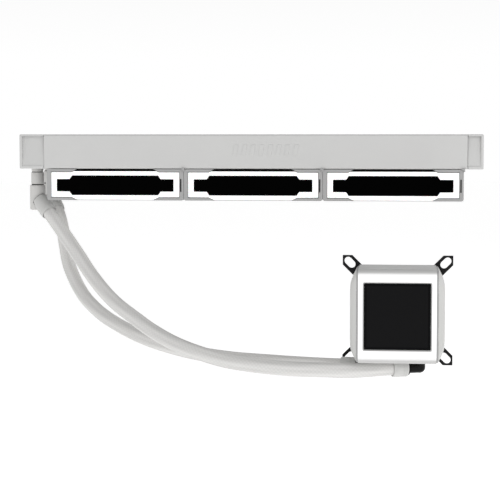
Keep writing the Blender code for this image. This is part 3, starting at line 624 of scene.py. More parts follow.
row_sizes = {"Count": 2, "First": (0.0, 0.0, 0.0), "Step": (0.0, 0.0, 0.0)}
row_tree, given, made = node_tree("row_of_copies", row_sizes)
spots = add_node(
    row_tree, "GeometryNodeMeshLine",
    {
        "Count": given.outputs["Count"], "Start Location": given.outputs["First"],
        "Offset": given.outputs["Step"]
    },
)
copies = add_node(
    row_tree, "GeometryNodeInstanceOnPoints", {
        "Points": spots.outputs[0], "Instance": given.outputs["Geometry"]
    }
)
solid_copies = add_node(row_tree, "GeometryNodeRealizeInstances", {0: copies.outputs[0]})
row_finish = add_node(
    row_tree, "GeometryNodeSetMaterial", {"Geometry": solid_copies.outputs[0], "Material": powder_coat}
)
row_tree.links.new(row_finish.outputs[0], made.inputs[0])

LOZENGES, LOZENGE_STEP, LOZENGE_HALF = 8, 7.4, 4.6
lozenge = [(-2.6, -LOZENGE_HALF), (1.0, -LOZENGE_HALF), (2.6, LOZENGE_HALF), (-1.0, LOZENGE_HALF)]
for face, rail_side in ((-1, "front"), (1, "rear")):
    mark = plate(
        f"rail_mark_{rail_side}", [lozenge], 59.6, 60.35,
        lambda x, z, y, face=face: (x, face * y, z),
    )
    eased(mark, 0.3, 2)
    grown(mark, row_tree, {
        "Count": LOZENGES, "First": ((11.0 - LOZENGE_STEP * (LOZENGES - 1) / 2) * MM, 0.0, -13.4 * MM),
        "Step": (LOZENGE_STEP * MM, 0.0, 0.0),
    })
    dress(mark, powder_coat, "radiator", "white_paint")

# The core: twelve flat tubes, and between them thin fins folded to and fro, brazed at each fold.
TUBE_COUNT, TUBE_HALF = 12, 1.0
CORE_HALF, CORE_TOP, CORE_BOTTOM = 58.3, -2.9, -26.9
PACK = (2 * CORE_HALF - TUBE_COUNT * 2 * TUBE_HALF) / (TUBE_COUNT + 1)
PACK_PITCH = PACK + 2 * TUBE_HALF
FIN_LEFT, FIN_RIGHT, FIN_STEP, FIN_SHEET = -180.2, 180.8, 1.3, 0.12
core_height = CORE_TOP - CORE_BOTTOM
first_tube = -CORE_HALF + PACK + TUBE_HALF
tube_outline = arc((first_tube, CORE_TOP - TUBE_HALF), TUBE_HALF, 0, 180, 6)
tube_outline += arc((first_tube, CORE_BOTTOM + TUBE_HALF), TUBE_HALF, 180, 360, 6)
flat_tubes = plate("core_tubes", [tube_outline], -184.0, 184.6, side_view)
grown(flat_tubes, row_tree, {
    "Count": TUBE_COUNT, "First": (0.0, 0.0, 0.0), "Step": (0.0, PACK_PITCH * MM, 0.0),
})
dress(flat_tubes, fin_coat, "radiator", "aluminium", "radiator_core")

fin_tree, given, made = node_tree(
    "folded_fins", {"Folds": 2, "Fold Step": 0.001, "Length": 0.1, "Height": 0.02, "Depth": 0.01}
)
sheet = add_node(
    fin_tree, "GeometryNodeMeshGrid",
    {
        "Size X": given.outputs["Length"], "Size Y": given.outputs["Height"],
        "Vertices X": given.outputs["Folds"], "Vertices Y": 2
    },
)
upright = add_node(
    fin_tree, "GeometryNodeTransform", {"Geometry": sheet.outputs[0], "Rotation": (math.pi / 2, 0.0, 0.0)}
)
place = add_node(
    fin_tree, "ShaderNodeSeparateXYZ", {0: add_node(fin_tree, "GeometryNodeInputPosition").outputs[0]}
)
half_length = add_node(fin_tree, "ShaderNodeMath", {0: given.outputs["Length"], 1: 2.0}, operation="DIVIDE")
from_end = add_node(
    fin_tree, "ShaderNodeMath", {0: place.outputs["X"], 1: half_length.outputs[0]}, operation="ADD"
)
fold = add_node(
    fin_tree, "ShaderNodeMath", {0: from_end.outputs[0], 1: given.outputs["Fold Step"]}, operation="DIVIDE"
)
whole = add_node(fin_tree, "ShaderNodeMath", {0: fold.outputs[0]}, operation="ROUND")
parity = add_node(fin_tree, "ShaderNodeMath", {0: whole.outputs[0], 1: 2.0}, operation="FLOORED_MODULO")
sided = add_node(fin_tree, "ShaderNodeMath", {0: parity.outputs[0], 1: 0.5}, operation="SUBTRACT")
reach = add_node(
    fin_tree, "ShaderNodeMath", {0: sided.outputs[0], 1: given.outputs["Depth"]}, operation="MULTIPLY"
)
aside = add_node(fin_tree, "ShaderNodeCombineXYZ", {"Y": reach.outputs[0]})
folded = add_node(
    fin_tree, "GeometryNodeSetPosition", {"Geometry": upright.outputs[0], "Offset": aside.outputs[0]}
)
fin_finish = add_node(
    fin_tree, "GeometryNodeSetMaterial", {"Geometry": folded.outputs[0], "Material": fin_coat}
)
fin_tree.links.new(fin_finish.outputs[0], made.inputs[0])

folds = round((FIN_RIGHT - FIN_LEFT) / FIN_STEP) + 1
fins = grown(new_piece("core_fins", bpy.data.meshes.new("core_fins")), fin_tree, {
    "Folds": folds, "Fold Step": (
        FIN_RIGHT - FIN_LEFT
    ) / (folds - 1) * MM, "Length": (FIN_RIGHT - FIN_LEFT) * MM,
    "Height": core_height * MM, "Depth": (PACK - 0.2) * MM,
})
thickness = fins.modifiers.new("sheet", "SOLIDIFY")
thickness.thickness = FIN_SHEET * MM
thickness.offset = 0.0
settle(fins)
grown(fins, row_tree, {
    "Count": TUBE_COUNT + 1,
    "First": (
        (FIN_LEFT + FIN_RIGHT) / 2 * MM, (-CORE_HALF + PACK / 2) * MM, (CORE_TOP + CORE_BOTTOM) / 2 * MM
    ),
    "Step": (0.0, PACK_PITCH * MM, 0.0),
})
dress(fins, fin_coat, "radiator", "aluminium")


# ------------------------------------------------------------------ swivel fittings under the port tank
# Each outlet is a turned brass fitting, coated to match: a neck screwed into the tank, a
# swivel ring, an elbow block, and a moulded collar over the hose end.
# Satin coat on turned brass: a touch warmer and darker than the radiator's.
fitting_coat = grained("coated_brass_fitting", "#CECDCB", 0.38, 0.9, 0.008)
# Moulded ABS: fine spark-eroded texture about 0.6 mm across.
white_abs = grained("moulded_white_abs", "#C9C9C7", 0.45, 0.6, 0.008)

NECK = [(3.6, -30.0), (5.6, -30.0), (5.3, -30.5), (5.3, -32.0), (4.9, -32.4), (4.9, -33.2), (3.6, -33.2)]
SWIVEL = [(3.6, -33.5), (5.2, -33.5), (5.7, -34.1), (5.7, -43.6), (5.3, -44.2), (4.6, -44.4), (3.6, -44.4)]
BLOCK = [
    (0.0, -44.7), (4.8, -44.7), (6.4, -45.0), (6.9, -45.5), (6.9, -65.8), (6.5, -66.6), (5.7, -67.0),
    (0.0, -67.0)
]
# Between them sit thin black rings: painted shade, standing in for the shade in the seams, which shows as
# fine dark lines.
nitrile = grained("nitrile_rubber", "#151515", 0.75, 0.5, 0.01, 0.1)
for side, (centre, leaving) in RADIATOR_ENDS.items():
    foot = (centre.x, centre.y, 0.0)
    dress(
        turned(f"{side}_neck_ring", NECK, foot, (0, 0, 1), 48), fitting_coat, "radiator", "white_paint",
        f"{side}_neck"
    )
    dress(
        turned(f"{side}_swivel", SWIVEL, foot, (0, 0, 1), 48),
        fitting_coat, "radiator", "white_paint", f"{side}_swivel_ring",
    )
    seam_shade_rings = turned(
        f"{side}_upper_seal", [(4.0, -33.0), (5.0, -33.0), (5.0, -33.7), (4.0, -33.7)], foot, (0, 0, 1), 48
    )
    lower = turned(
        f"{side}_lower_seal", [(4.0, -44.1), (5.4, -44.1), (5.4, -45.0), (4.0, -45.0)], foot, (0, 0, 1), 48
    )
    carved(seam_shade_rings, lower, operation="UNION")
    dress(seam_shade_rings, nitrile, "radiator", "rubber")
    body = turned(f"{side}_elbow_block", BLOCK, foot, (0, 0, 1), 56)
    stub = turned(
        f"{side}_stub", [(0, 0), (5.9, 0), (5.9, HOSE_START - 1.0), (0, HOSE_START - 1.0)], centre, leaving,
        48
    )
    carved(body, stub, operation="UNION")
    dress(body, fitting_coat, "radiator", "white_paint", f"{side}_elbow")
    collar_profile = [
        (6.6, 5.0), (7.3, 5.0), (7.3, 19.0), (7.1, 19.2), (7.1, 19.6), (7.25, 19.8), (7.1, 21.2)
    ]
    collar_profile += [(6.85, 22.0), (6.6, 22.0)]
    collar = turned(f"{side}_hose_collar", collar_profile, centre, leaving, 56)
    saddle = turned(f"{side}_saddle", [(0, -68), (8.1, -68), (8.1, -40), (0, -40)], foot, (0, 0, 1), 56)
    carved(collar, saddle)
    dress(collar, white_abs, "radiator", "white_plastic", f"{side}_collar")
    # A black ring where the collar meets the block: painted shade for the dark seam there.
    collar_shade_ring = turned(
        f"{side}_collar_seal", [(6.2, 4.5), (7.05, 4.5), (7.05, 12.0), (6.2, 12.0)], centre, leaving, 56
    )
    saddle = turned(f"{side}_seal_cut", [(0, -68), (6.95, -68), (6.95, -40), (0, -40)], foot, (0, 0, 1), 56)
    carved(collar_shade_ring, saddle)
    dress(collar_shade_ring, nitrile, "radiator", "rubber")


# ------------------------------------------------------------------ fans
# Three 120 mm fans. Each frame is moulded in glass-filled nylon, with four spokes to the
# motor. Light bars lie along both outer sides, and a black mirror strip is let into each.
# Glass-filled nylon: a mid grey, matt, with a streaky grain about 1 mm across.
grey_nylon = grained("glass_filled_nylon", "#A6A6A6", 0.55, 1.0, 0.015, 0.04)
# Milky polycarbonate lit from behind: close to even white, slightly soft at its edges.
diffuser = grained(
    "milky_polycarbonate", "#F2F2F2", 0.35, 0.5, 0.004, 0.01,
    {
        "Emission Color": (1, 1, 1, 1), "Emission Strength": 0.42, "Subsurface Weight": 0.2,
        "Subsurface Scale": 0.002
    },
)
# Each bar's glow fades out over its lowest millimetre or so: painted shade along its lower edge.
tree = diffuser.node_tree
BAR_DARK, BAR_LIT, BAR_GLOW = -0.0569, -0.0556, 0.5
bar_height = add_node(
    tree, "ShaderNodeSeparateXYZ", {0: add_node(tree, "ShaderNodeTexCoord").outputs["Object"]}
)
bar_glow = add_node(
    tree, "ShaderNodeMapRange",
    {"Value": bar_height.outputs["Z"], "From Min": BAR_DARK, "From Max": BAR_LIT, "To Max": BAR_GLOW},
)
tree.links.new(bar_glow.outputs[0], tree.nodes["Principled BSDF"].inputs["Emission Strength"])
# Back-coated acrylic mirror: black, and polished flat.
black_mirror = grained(
    "black_acrylic_mirror", "#010101", 0.08, 2.0, 0.0003, 0.0, {"Specular IOR Level": 0.01}
)
# Injection-moulded PBT for the rotor: smoother than the frame.
rotor_pbt = grained("moulded_rotor_pbt", "#D4D4D3", 0.4, 0.7, 0.006)
# Silicon steel and enamelled copper wire, wound on the poles.
winding = grained("enamelled_winding", "#8A4A22", 0.35, 0.4, 0.05, 0.2, {"Metallic": 0.85})
# Zinc-plated black machine screws.
black_steel = grained("black_coated_steel", "#0C0C0D", 0.5, 0.7, 0.01, 0.1, {"Specular IOR Level": 0.2})

FRAME_HALF, FRAME_BODY, BORE = 59.85, 56.9, 55.9
FAN_TOP, FAN_BOTTOM = -30.0, -57.0
BRACKET_HEIGHT, BAR_HALF = 2.1, 56.15


def flat_place(x, y, z):
    return (x, y, z)


def upright_place(x, z, y):
    return (x, y, z)


body_outline = [
    (-FRAME_HALF, -FRAME_BODY), (FRAME_HALF, -FRAME_BODY), (FRAME_HALF, FRAME_BODY),
    (-FRAME_HALF, FRAME_BODY)
]
fan_frame = plate(
    "fan_frame", [body_outline, ring_outline((0, 0), BORE, 96)], FAN_BOTTOM, FAN_TOP, flat_place
)
additions = []
for face in (-1, 1):
    for side in (-1, 1):
        upright_outline = [
            (33.4, FAN_TOP), (FRAME_HALF, FAN_TOP), (FRAME_HALF, FAN_BOTTOM), (33.4, FAN_BOTTOM),
            (38.6, FAN_BOTTOM + BRACKET_HEIGHT), (BAR_HALF + 0.3, FAN_BOTTOM + BRACKET_HEIGHT),
            (BAR_HALF + 0.3, FAN_TOP - BRACKET_HEIGHT), (38.6, FAN_TOP - BRACKET_HEIGHT),
        ]
        upright_outline = [(side * x, z) for x, z in upright_outline]
        additions.append(plate(
            f"corner_{face}_{side}", [upright_outline], FRAME_BODY - 0.6, FRAME_HALF,
            lambda x, z, y, face=face: (x, face * y, z),
        ))
additions.append(
    turned(
        "hub_plate", [(0, -33.5), (20.2, -33.5), (21.0, -32.7), (21.0, -31.0), (20.5, -30.5), (0, -30.5)],
        (0, 0, 0), (0, 0, 1), 72
    )
)
for turn in (45, 135):
    heading = Matrix.Rotation(math.radians(turn), 3, "Z")
    spoke_outline = [
        (-57.5, -3.0), (-24, -1.9), (24, -1.9), (57.5, -3.0), (57.5, 3.0), (24, 1.9), (-24, 1.9),
        (-57.5, 3.0)
    ]
    additions.append(plate(
        f"spoke_{turn}", [
            spoke_outline
        ], FAN_TOP - 4.0, FAN_TOP - 0.7, lambda x, y, z: heading @ Vector((x, y, z))
    ))
additions.append(
    turned("bearing_tube", [(1.9, -36), (1.9, -49), (4.2, -49), (4.2, -33)], (0, 0, 0), (0, 0, 1), 32)
)
carved(fan_frame, *additions, operation="UNION")
cuts = []
for x in (-1, 1):
    cuts.append(block(
        f"link_recess_{x}", (
            x * FRAME_HALF - 1.4, -58.7, FAN_TOP - 21.5
        ), (x * FRAME_HALF + 1.4, -48.0, FAN_TOP - 9.0)
    ))
    for y in (-1, 1):
        spot = (x * SCREW_REACH, y * SCREW_REACH, 0)
        bore_profile = [(0, -58), (3.4, -58), (3.4, -54.6), (2.15, -54.6), (2.15, -29), (0, -29)]
        cuts.append(turned(f"screw_bore_{x}_{y}", bore_profile, spot, (0, 0, 1), 32))
    if x > 0:
        cuts.append(block("contact_slot", (56.9, -61.0, -49.6), (58.1, -58.6, -38.4)))
CORNER = 1.9
for first, x, z in ((-90, 1, FAN_BOTTOM), (0, 1, FAN_TOP), (90, -1, FAN_TOP), (180, -1, FAN_BOTTOM)):
    out = 1 if z == FAN_TOP else -1
    middle = (x * (FRAME_HALF - CORNER), z - out * CORNER)
    waste = arc(middle, CORNER, first, first + 90, 6)
    waste.append((x * (FRAME_HALF + 1), z) if x * out < 0 else (x * (FRAME_HALF - CORNER), z + out))
    waste.append((x * (FRAME_HALF + 1), z + out))
    waste.append(
        (x * (FRAME_HALF - CORNER), z + out) if x * out < 0 else (x * (FRAME_HALF + 1), z - out * CORNER)
    )
    cuts.append(plate(f"corner_cut_{first}", [waste], -62.0, 62.0, upright_place))
carved(fan_frame, *cuts)
eased(flattened(fan_frame), 0.3, 2, 40)

# The rotor: a cup with a domed rim and seven swept blades.
HUB = [(0, -38.0), (1.5, -38.0), (1.5, -51.8), (19.2, -51.8), (19.2, -35.0), (21.0, -35.0)]
HUB += [(21.0, -52.2), (20.8, -53.0), (20.2, -53.6), (19.4, -53.95), (18.4, -54.0), (0, -54.0)]
BLADES = 7
bm = bmesh.new()
rows = []
ACROSS, ALONG = 14, 12
for across in range(ACROSS + 1):
    share = across / ACROSS
    radius = 20.4 + share * (54.6 - 20.4)
    row = []
    for along in range(ALONG + 1):
        part = along / ALONG - 0.5
        angle = part * (0.78 - 0.06 * share) - 0.16 * share**2
        height = -43.8 - part * (13.0 - 4.4 * share) - 1.6 * math.cos(math.pi * part)
        row.append(bm.verts.new(Vector((radius * math.cos(angle), radius * math.sin(angle), height)) * MM))
    rows.append(row)
for inner, outer in zip(rows, rows[1:]):
    for i in range(ALONG):
        bm.faces.new((inner[i], outer[i], outer[i + 1], inner[i + 1]))
blades = piece_of("fan_blades", bm)
thickness = blades.modifiers.new("thickness", "SOLIDIFY")
thickness.thickness = 1.3 * MM
thickness.offset = 0.0
settle(blades)
eased(blades, 0.4, 2, 50)

ring_tree, given, made = node_tree("ring_of_copies", {"Count": 2, "First Turn": 0.0, "Turn Step": 1.0})
spots = add_node(
    ring_tree, "GeometryNodeMeshLine", {"Count": given.outputs["Count"], "Offset": (0.0, 0.0, 0.0)}
)
number = add_node(ring_tree, "GeometryNodeInputIndex")
turn_each = add_node(
    ring_tree, "ShaderNodeMath",
    {
        0: number.outputs[0], 1: given.outputs["Turn Step"], 2: given.outputs["First Turn"]
    }, operation="MULTIPLY_ADD",
)
spin = add_node(ring_tree, "ShaderNodeCombineXYZ", {"Z": turn_each.outputs[0]})
copies = add_node(
    ring_tree, "GeometryNodeInstanceOnPoints",
    {"Points": spots.outputs[0], "Instance": given.outputs["Geometry"], "Rotation": spin.outputs[0]},
)
solid_copies = add_node(ring_tree, "GeometryNodeRealizeInstances", {0: copies.outputs[0]})
ring_finish = add_node(
    ring_tree, "GeometryNodeSetMaterial", {"Geometry": solid_copies.outputs[0], "Material": rotor_pbt}
)
ring_tree.links.new(ring_finish.outputs[0], made.inputs[0])
grown(blades, ring_tree, {"Count": BLADES, "First Turn": 0.0, "Turn Step": math.tau / BLADES})
rotor = turned("fan_rotor", HUB, (0, 0, 0), (0, 0, 1), 72)

SCREW_HEAD = [
    (0, -56.5), (0.9, -56.5), (1.3, -57.0), (2.4, -57.0), (2.9, -56.5), (2.9, -55.2), (2.1, -55.0),
    (2.1, -31), (0, -31)
]
frame_screw = turned(
    "frame_screw", [(r, z + 0.3) for r, z in SCREW_HEAD], (SCREW_REACH, SCREW_REACH, 0), (0, 0, 1), 24
)
grown(frame_screw, ring_tree, {"Count": 4, "First Turn": 0.0, "Turn Step": math.pi / 2})


def joined_copy(name, sources, shift):
    """One mesh from several pieces, moved along X."""
    bm = bmesh.new()
    for source in sources:
        bm.from_mesh(source.data)
    bmesh.ops.translate(bm, vec=(shift * MM, 0, 0), verts=bm.verts)
    return piece_of(name, bm)


# A contact block on each frame's left side plugs into its neighbour's recess.
link = eased(block("link_block", (-61.2, -58.4, -51.2), (-58.5, -48.4, -37.2)), 0.4, 3)
# Black strips between the frame and the radiator, between the corner brackets, and a black liner at the back
# of the contact slot: painted shade for the dark gaps there.
shade_strip = grained("black_shade_strip", "#050505", 0.95, 0.4, 0.08, 0.2, {"Specular IOR Level": 0.1})
shade_strips = [block("slot_liner", (57.0, -59.3, -49.5), (58.0, -58.75, -38.5))]
shade_strips += [
    eased(
        block(
            f"foam_{face}", (-35.6, min(face * 58.9, face * 55.5), -31.75),
            (35.6, max(face * 58.9, face * 55.5), -29.75)
        ),
        0.3, 2
    )
    for face in (-1, 1)
]
for number, shift in enumerate(FAN_X, 1):
    dress(
        joined_copy(f"fan_{number}_frame", [fan_frame], shift), grey_nylon, "radiator", "grey_plastic",
        f"fan_frame_{number}"
    )
    dress(joined_copy(f"fan_{number}_link", [link], shift), white_abs, "radiator", "grey_plastic")
    # The black strips: painted shade in the gaps.
    dress(joined_copy(f"fan_{number}_foam", shade_strips, shift), shade_strip, "radiator", "rubber")
    dress(joined_copy(f"fan_{number}_screws", [frame_screw], shift), black_steel, "radiator", "black_steel")
    dress(
        joined_copy(f"fan_{number}_rotor", [rotor, blades], shift),
        rotor_pbt, f"fan_rotor_{number}", "white_plastic", f"fan_rotor_{number}",
    )
    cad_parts[f"fan_stator_{number}"].data.materials.clear()
    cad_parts[f"fan_stator_{number}"].data.materials.append(winding)
    for face in ("front", "rear"):
        softened(f"{face}_light_bar_{number}", diffuser, "radiator", "diffuser", 0.2)
        softened(f"{face}_mirror_{number}", black_mirror, "radiator", "mirror_black", 0.12)
for source in (fan_frame, frame_screw, rotor, blades, link, *shade_strips):
    bpy.data.objects.remove(source)


# ------------------------------------------------------------------ pump head
# A white U-shaped band with two cheeks over a grey housing, and a square screen in front.
# Behind are a nylon base block, a pressed steel bracket with four slotted ears, and a
# milled copper cold plate.
def in_head(x, z, depth):
    """A place in the pump head, from its middle line and its depth in front of the cold plate's face."""
    return (PUMP_X + x, PUMP_BACK_Y - depth, PUMP_Z + z)


def side_place(depth, z, x):
    return in_head(x, z, depth)


HEAD_HALF, HEAD_FRONT, HEAD_BACK = 37.2, 62.0, 12.2
BAND_HALF, BAND_WALL, BAND_CORNER = 30.8, 2.0, 4.3
SCREEN_HALF = 25.9


def u_outline(inset, back, front, corner, steps):
    height, depth = HEAD_HALF - inset, front - inset
    points = [(back, height)] + arc((depth - corner, height - corner), corner, 90, 0, steps)
    return points + [
        (x, -z) for x, z in reversed(arc((depth - corner, height - corner), corner, 90, 0, steps))
    ] + [(back, -height)]


def square_outline(half, corner=0.0, steps=5):
    if not corner:
        return [(-half, -half), (half, -half), (half, half), (-half, half)]
    points = []
    for first, (x, y) in zip((-90, 0, 90, 180), ((1, -1), (1, 1), (-1, 1), (-1, -1))):
        points += arc((x * (half - corner), y * (half - corner)), corner, first, first + 90, steps)
    return points


def lofted(name, bm, loops):
    """Walls from each outline to the next, closed at both ends."""
    for first, second in zip(loops, loops[1:]):
        for i in range(len(first)):
            j = (i + 1) % len(first)
            bm.faces.new((first[i], first[j], second[j], second[i]))
    bm.faces.new(loops[0])
    bm.faces.new(loops[-1])
    bmesh.ops.recalc_face_normals(bm, faces=bm.faces)
    return piece_of(name, bm)


def frustum(name, rings):
    """A solid through square outlines of the same number of points, as (points, depth)."""
    bm = bmesh.new()
    loops = [[bm.verts.new(Vector(in_head(x, z, depth)) * MM) for x, z in points] for points, depth in rings]
    return lofted(name, bm, loops)


# Milky moulded front that carries light round the screen, with painted shade darkening its top and underside.
outer = u_outline(0.0, HEAD_BACK, HEAD_FRONT, BAND_CORNER, 12)
inner = u_outline(BAND_WALL, HEAD_BACK, HEAD_FRONT, BAND_CORNER - BAND_WALL, 8)
band = plate("head_band", [outer + inner[::-1]], -BAND_HALF, BAND_HALF, side_place)
window = frustum("window", [
    (square_outline(26.15, 0.6), 57.0), (square_outline(26.15, 0.6), 60.6), (square_outline(27.3, 1.2), 61.9),
    (square_outline(27.6, 1.2), 62.2), (square_outline(27.8, 1.2), 64.0),
])
port_cuts = [
    turned(
        f"band_port_{x}", [(0, -192), (5.1, -192), (5.1, -172), (0, -172)], (x, PUMP_PORT_Y, 0), (0, 0, 1),
        40
    )
    for x in (142.8, 102.8)
]
carved(band, window, *port_cuts)
eased(flattened(band), 0.2, 2, 45)

# The band's front is a light guide, so the moulding glows there. Its top and underside get a darker grey,
# which is painted shade, and the front's glow and pale tone fade out across the rounded edges at the top and
# bottom as painted shading.
lit_and_shaded_abs, tree, shader = new_material("lit_and_shaded_white_abs", {"Roughness": 0.4, "Emission Color": (1, 1, 1, 1)})
where = add_node(tree, "ShaderNodeTexCoord").outputs["Object"]
depth = add_node(tree, "ShaderNodeSeparateXYZ", {0: where})
lit = add_node(
    tree, "ShaderNodeMapRange",
    {"Value": depth.outputs["Y"], "From Min": -0.17735, "From Max": -0.17795, "To Min": 0.0, "To Max": 1.0},
)
LIT_HALF, DARK_HALF = 0.0318, 0.0352
off_middle = add_node(tree, "ShaderNodeMath", {0: depth.outputs["Z"], 1: PUMP_Z * MM}, operation="SUBTRACT")
off_middle = add_node(tree, "ShaderNodeMath", {0: off_middle.outputs[0]}, operation="ABSOLUTE")
fading = add_node(
    tree, "ShaderNodeMapRange",
    {
        "Value": off_middle.outputs[0], "From Min": LIT_HALF, "From Max": DARK_HALF, "To Min": 1.0,
        "To Max": 0.0
    },
)
lit = add_node(tree, "ShaderNodeMath", {0: lit.outputs[0], 1: fading.outputs[0]}, operation="MULTIPLY")
# Painted shade on the top and underside: the darker grey; the flat front takes the pale one.
tone = add_node(
    tree, "ShaderNodeMix", {
        "Factor": lit.outputs[0], "A": linear("#C0C0BF"), "B": linear("#ECECEC")
    }, data_type="RGBA"
)
tree.links.new(tone.outputs["Result"], shader.inputs["Base Color"])
glow = add_node(tree, "ShaderNodeMath", {0: lit.outputs[0], 1: 0.3}, operation="MULTIPLY")
tree.links.new(glow.outputs[0], shader.inputs["Emission Strength"])
fine = add_node(tree, "ShaderNodeTexNoise", {"Vector": where, "Scale": 1600.0, "Detail": 3.0})
bump = add_node(
    tree, "ShaderNodeBump", {"Height": fine.outputs["Fac"], "Strength": 0.6, "Distance": 0.000008}
)
tree.links.new(bump.outputs[0], shader.inputs["Normal"])
dress(band, lit_and_shaded_abs, "pump_head", "white_plastic", "front_band")

# Grey liners in the two seams between the band and the cheeks.
liner_outline = u_outline(0.8, HEAD_BACK + 3.4, HEAD_FRONT, BAND_CORNER - 0.8, 12)
liner_outline += u_outline(BAND_WALL + 0.2, HEAD_BACK + 3.4, HEAD_FRONT, BAND_CORNER - BAND_WALL, 8)[::-1]
for name, start in (("left", -32.1), ("right", 30.9)):
    liner = plate(f"{name}_seam_liner", [liner_outline], start, start + 1.2, side_place)
    dress(liner, grey_nylon, "pump_head", "grey_plastic")

# Cheeks: moulded covers that round off towards the sides.
CHEEK_STEPS = (
    (32.2, 1.2, 0.6), (33.6, 3.4, 1.4), (35.0, 6.2, 2.6), (36.0, 8.3, 3.8), (36.7, 10.2, 5.0),
    (37.15, 12.4, 6.8), (37.4, 15.0, 9.0)
)


def cheek_shell(name, side, inset):
    bm = bmesh.new()
    loops = []
    back = HEAD_BACK - (1.0 if inset else 0.0)
    for x, top_inset, front_inset in CHEEK_STEPS:
        height, depth, corner = HEAD_HALF - top_inset - inset, HEAD_FRONT - front_inset - inset, 6.0
        points = [(back, -height)] + arc((depth - corner, -height + corner), corner, -90, 0, 8)
        points += arc((depth - corner, height - corner), corner, 0, 90, 8) + [(back, height)]
        x = x - (1.0 if inset and x == CHEEK_STEPS[0][0] else inset)
        loops.append([bm.verts.new(Vector(in_head(side * x, z, depth)) * MM) for depth, z in points])
    return lofted(name, bm, loops)


for name, side in (("left", -1), ("right", 1)):
    cheek = cheek_shell(f"{name}_cheek_cover", side, 0.0)
    carved(cheek, cheek_shell(f"{name}_cheek_inside", side, 1.8))
    dress(eased(cheek, 0.25, 2, 50), white_abs, "pump_head", "white_plastic", f"{name}_cheek")

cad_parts["head_housing"].data.materials.clear()
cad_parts["head_housing"].data.materials.append(grey_nylon)

# Screen: tinted cover glass over a dark panel, with a black border.
cover_glass, tree, shader = new_material(
    "tinted_cover_glass", {"Roughness": 0.16, "IOR": 1.5, "Specular IOR Level": 0.06}
)
where = add_node(tree, "ShaderNodeTexCoord").outputs["Object"]
centred = add_node(
    tree, "ShaderNodeMapping", {"Vector": where, "Location": (-PUMP_X * MM, 0.0, -PUMP_Z * MM)}
)
parts = add_node(tree, "ShaderNodeSeparateXYZ", {0: centred.outputs[0]})
sideways = add_node(tree, "ShaderNodeMath", {0: parts.outputs["X"]}, operation="ABSOLUTE")
upwards = add_node(tree, "ShaderNodeMath", {0: parts.outputs["Z"]}, operation="ABSOLUTE")
edge = add_node(tree, "ShaderNodeMath", {0: sideways.outputs[0], 1: upwards.outputs[0]}, operation="MAXIMUM")
border = add_node(
    tree, "ShaderNodeMapRange", {
        "Value": edge.outputs[0], "From Min": 0.0238, "From Max": 0.0242, "To Min": 0.0, "To Max": 1.0
    }
)
panel = add_node(
    tree, "ShaderNodeMix", {
        "Factor": border.outputs[0], "A": linear("#0F0F10"), "B": linear("#040405")
    }, data_type="RGBA"
)
tree.links.new(panel.outputs["Result"], shader.inputs["Base Color"])
smudge = add_node(tree, "ShaderNodeTexNoise", {"Vector": where, "Scale": 60.0, "Detail": 4.0})
haze = add_node(tree, "ShaderNodeMapRange", {"Value": smudge.outputs["Fac"], "To Min": 0.12, "To Max": 0.2})
tree.links.new(haze.outputs[0], shader.inputs["Roughness"])


screen = plate("screen_cover", [square_outline(SCREEN_HALF, 0.6)], 60.2, 61.4, in_head)
dress(eased(screen, 0.2, 2, 40), cover_glass, "pump_head", "glass", "screen_glass")
module = plate("screen_module", [square_outline(27.0, 0.5)], 55.6, 59.7, in_head)
dress(eased(module, 0.3, 2, 40), black_steel, "pump_head", "black_steel", "display_module")

# Circuit board: green solder mask over copper, with paler tracks 0.8 mm wide.
board, tree, shader = new_material("solder_mask_board", {"Roughness": 0.35, "Coat Weight": 0.3})
where = add_node(tree, "ShaderNodeTexCoord").outputs["Object"]
laid_flat = add_node(tree, "ShaderNodeMapping", {"Vector": where, "Rotation": (math.pi / 2, 0, 0)})
tracks = add_node(
    tree, "ShaderNodeTexBrick",
    {"Vector": laid_flat.outputs[0],
     "Scale": 300.0, "Color1": linear(
         "#0F3B20"
     ), "Color2": linear("#134527"), "Mortar": linear("#2A6B3D"), "Mortar Size": 0.04},
)
tree.links.new(tracks.outputs["Color"], shader.inputs["Base Color"])
circuit = plate("circuit_board_sheet", [square_outline(27.0, 2.0)], 40.0, 41.6, in_head)
dress(circuit, board, "pump_head", "board", "circuit_board")
for node, material in (("motor_stator", winding), ("volute_cover", grey_nylon), ("pump_impeller", rotor_pbt)):
    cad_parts[node].data.materials.clear()
    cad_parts[node].data.materials.append(material)

# The base block is turned nylon; the seal is a plain rubber ring.
BASE = [
    (0, 15.2), (33.4, 15.2), (34.0, 14.6), (34.0, 12.4), (33.5, 11.9), (29.0, 11.9), (29.0, 5.6),
    (28.5, 5.1), (0, 5.1)
]
base = turned("pump_base", BASE, in_head(0, 0, 0), (0, -1, 0), 96)
carved(base, frustum("fin_pocket", [(square_outline(15.5, 1.0), 4.0), (square_outline(15.5, 1.0), 7.5)]))
dress(base, grey_nylon, "pump_head", "grey_plastic", "base_block")
seal = turned(
    "pump_seal", [(23.4, 3.6), (24.0, 3.4), (24.6, 3.6), (24.6, 4.7), (24.0, 4.9), (23.4, 4.7)],
    in_head(0, 0, 0), (0, -1, 0), 72
)
dress(seal, nitrile, "pump_head", "rubber", "seal_ring")

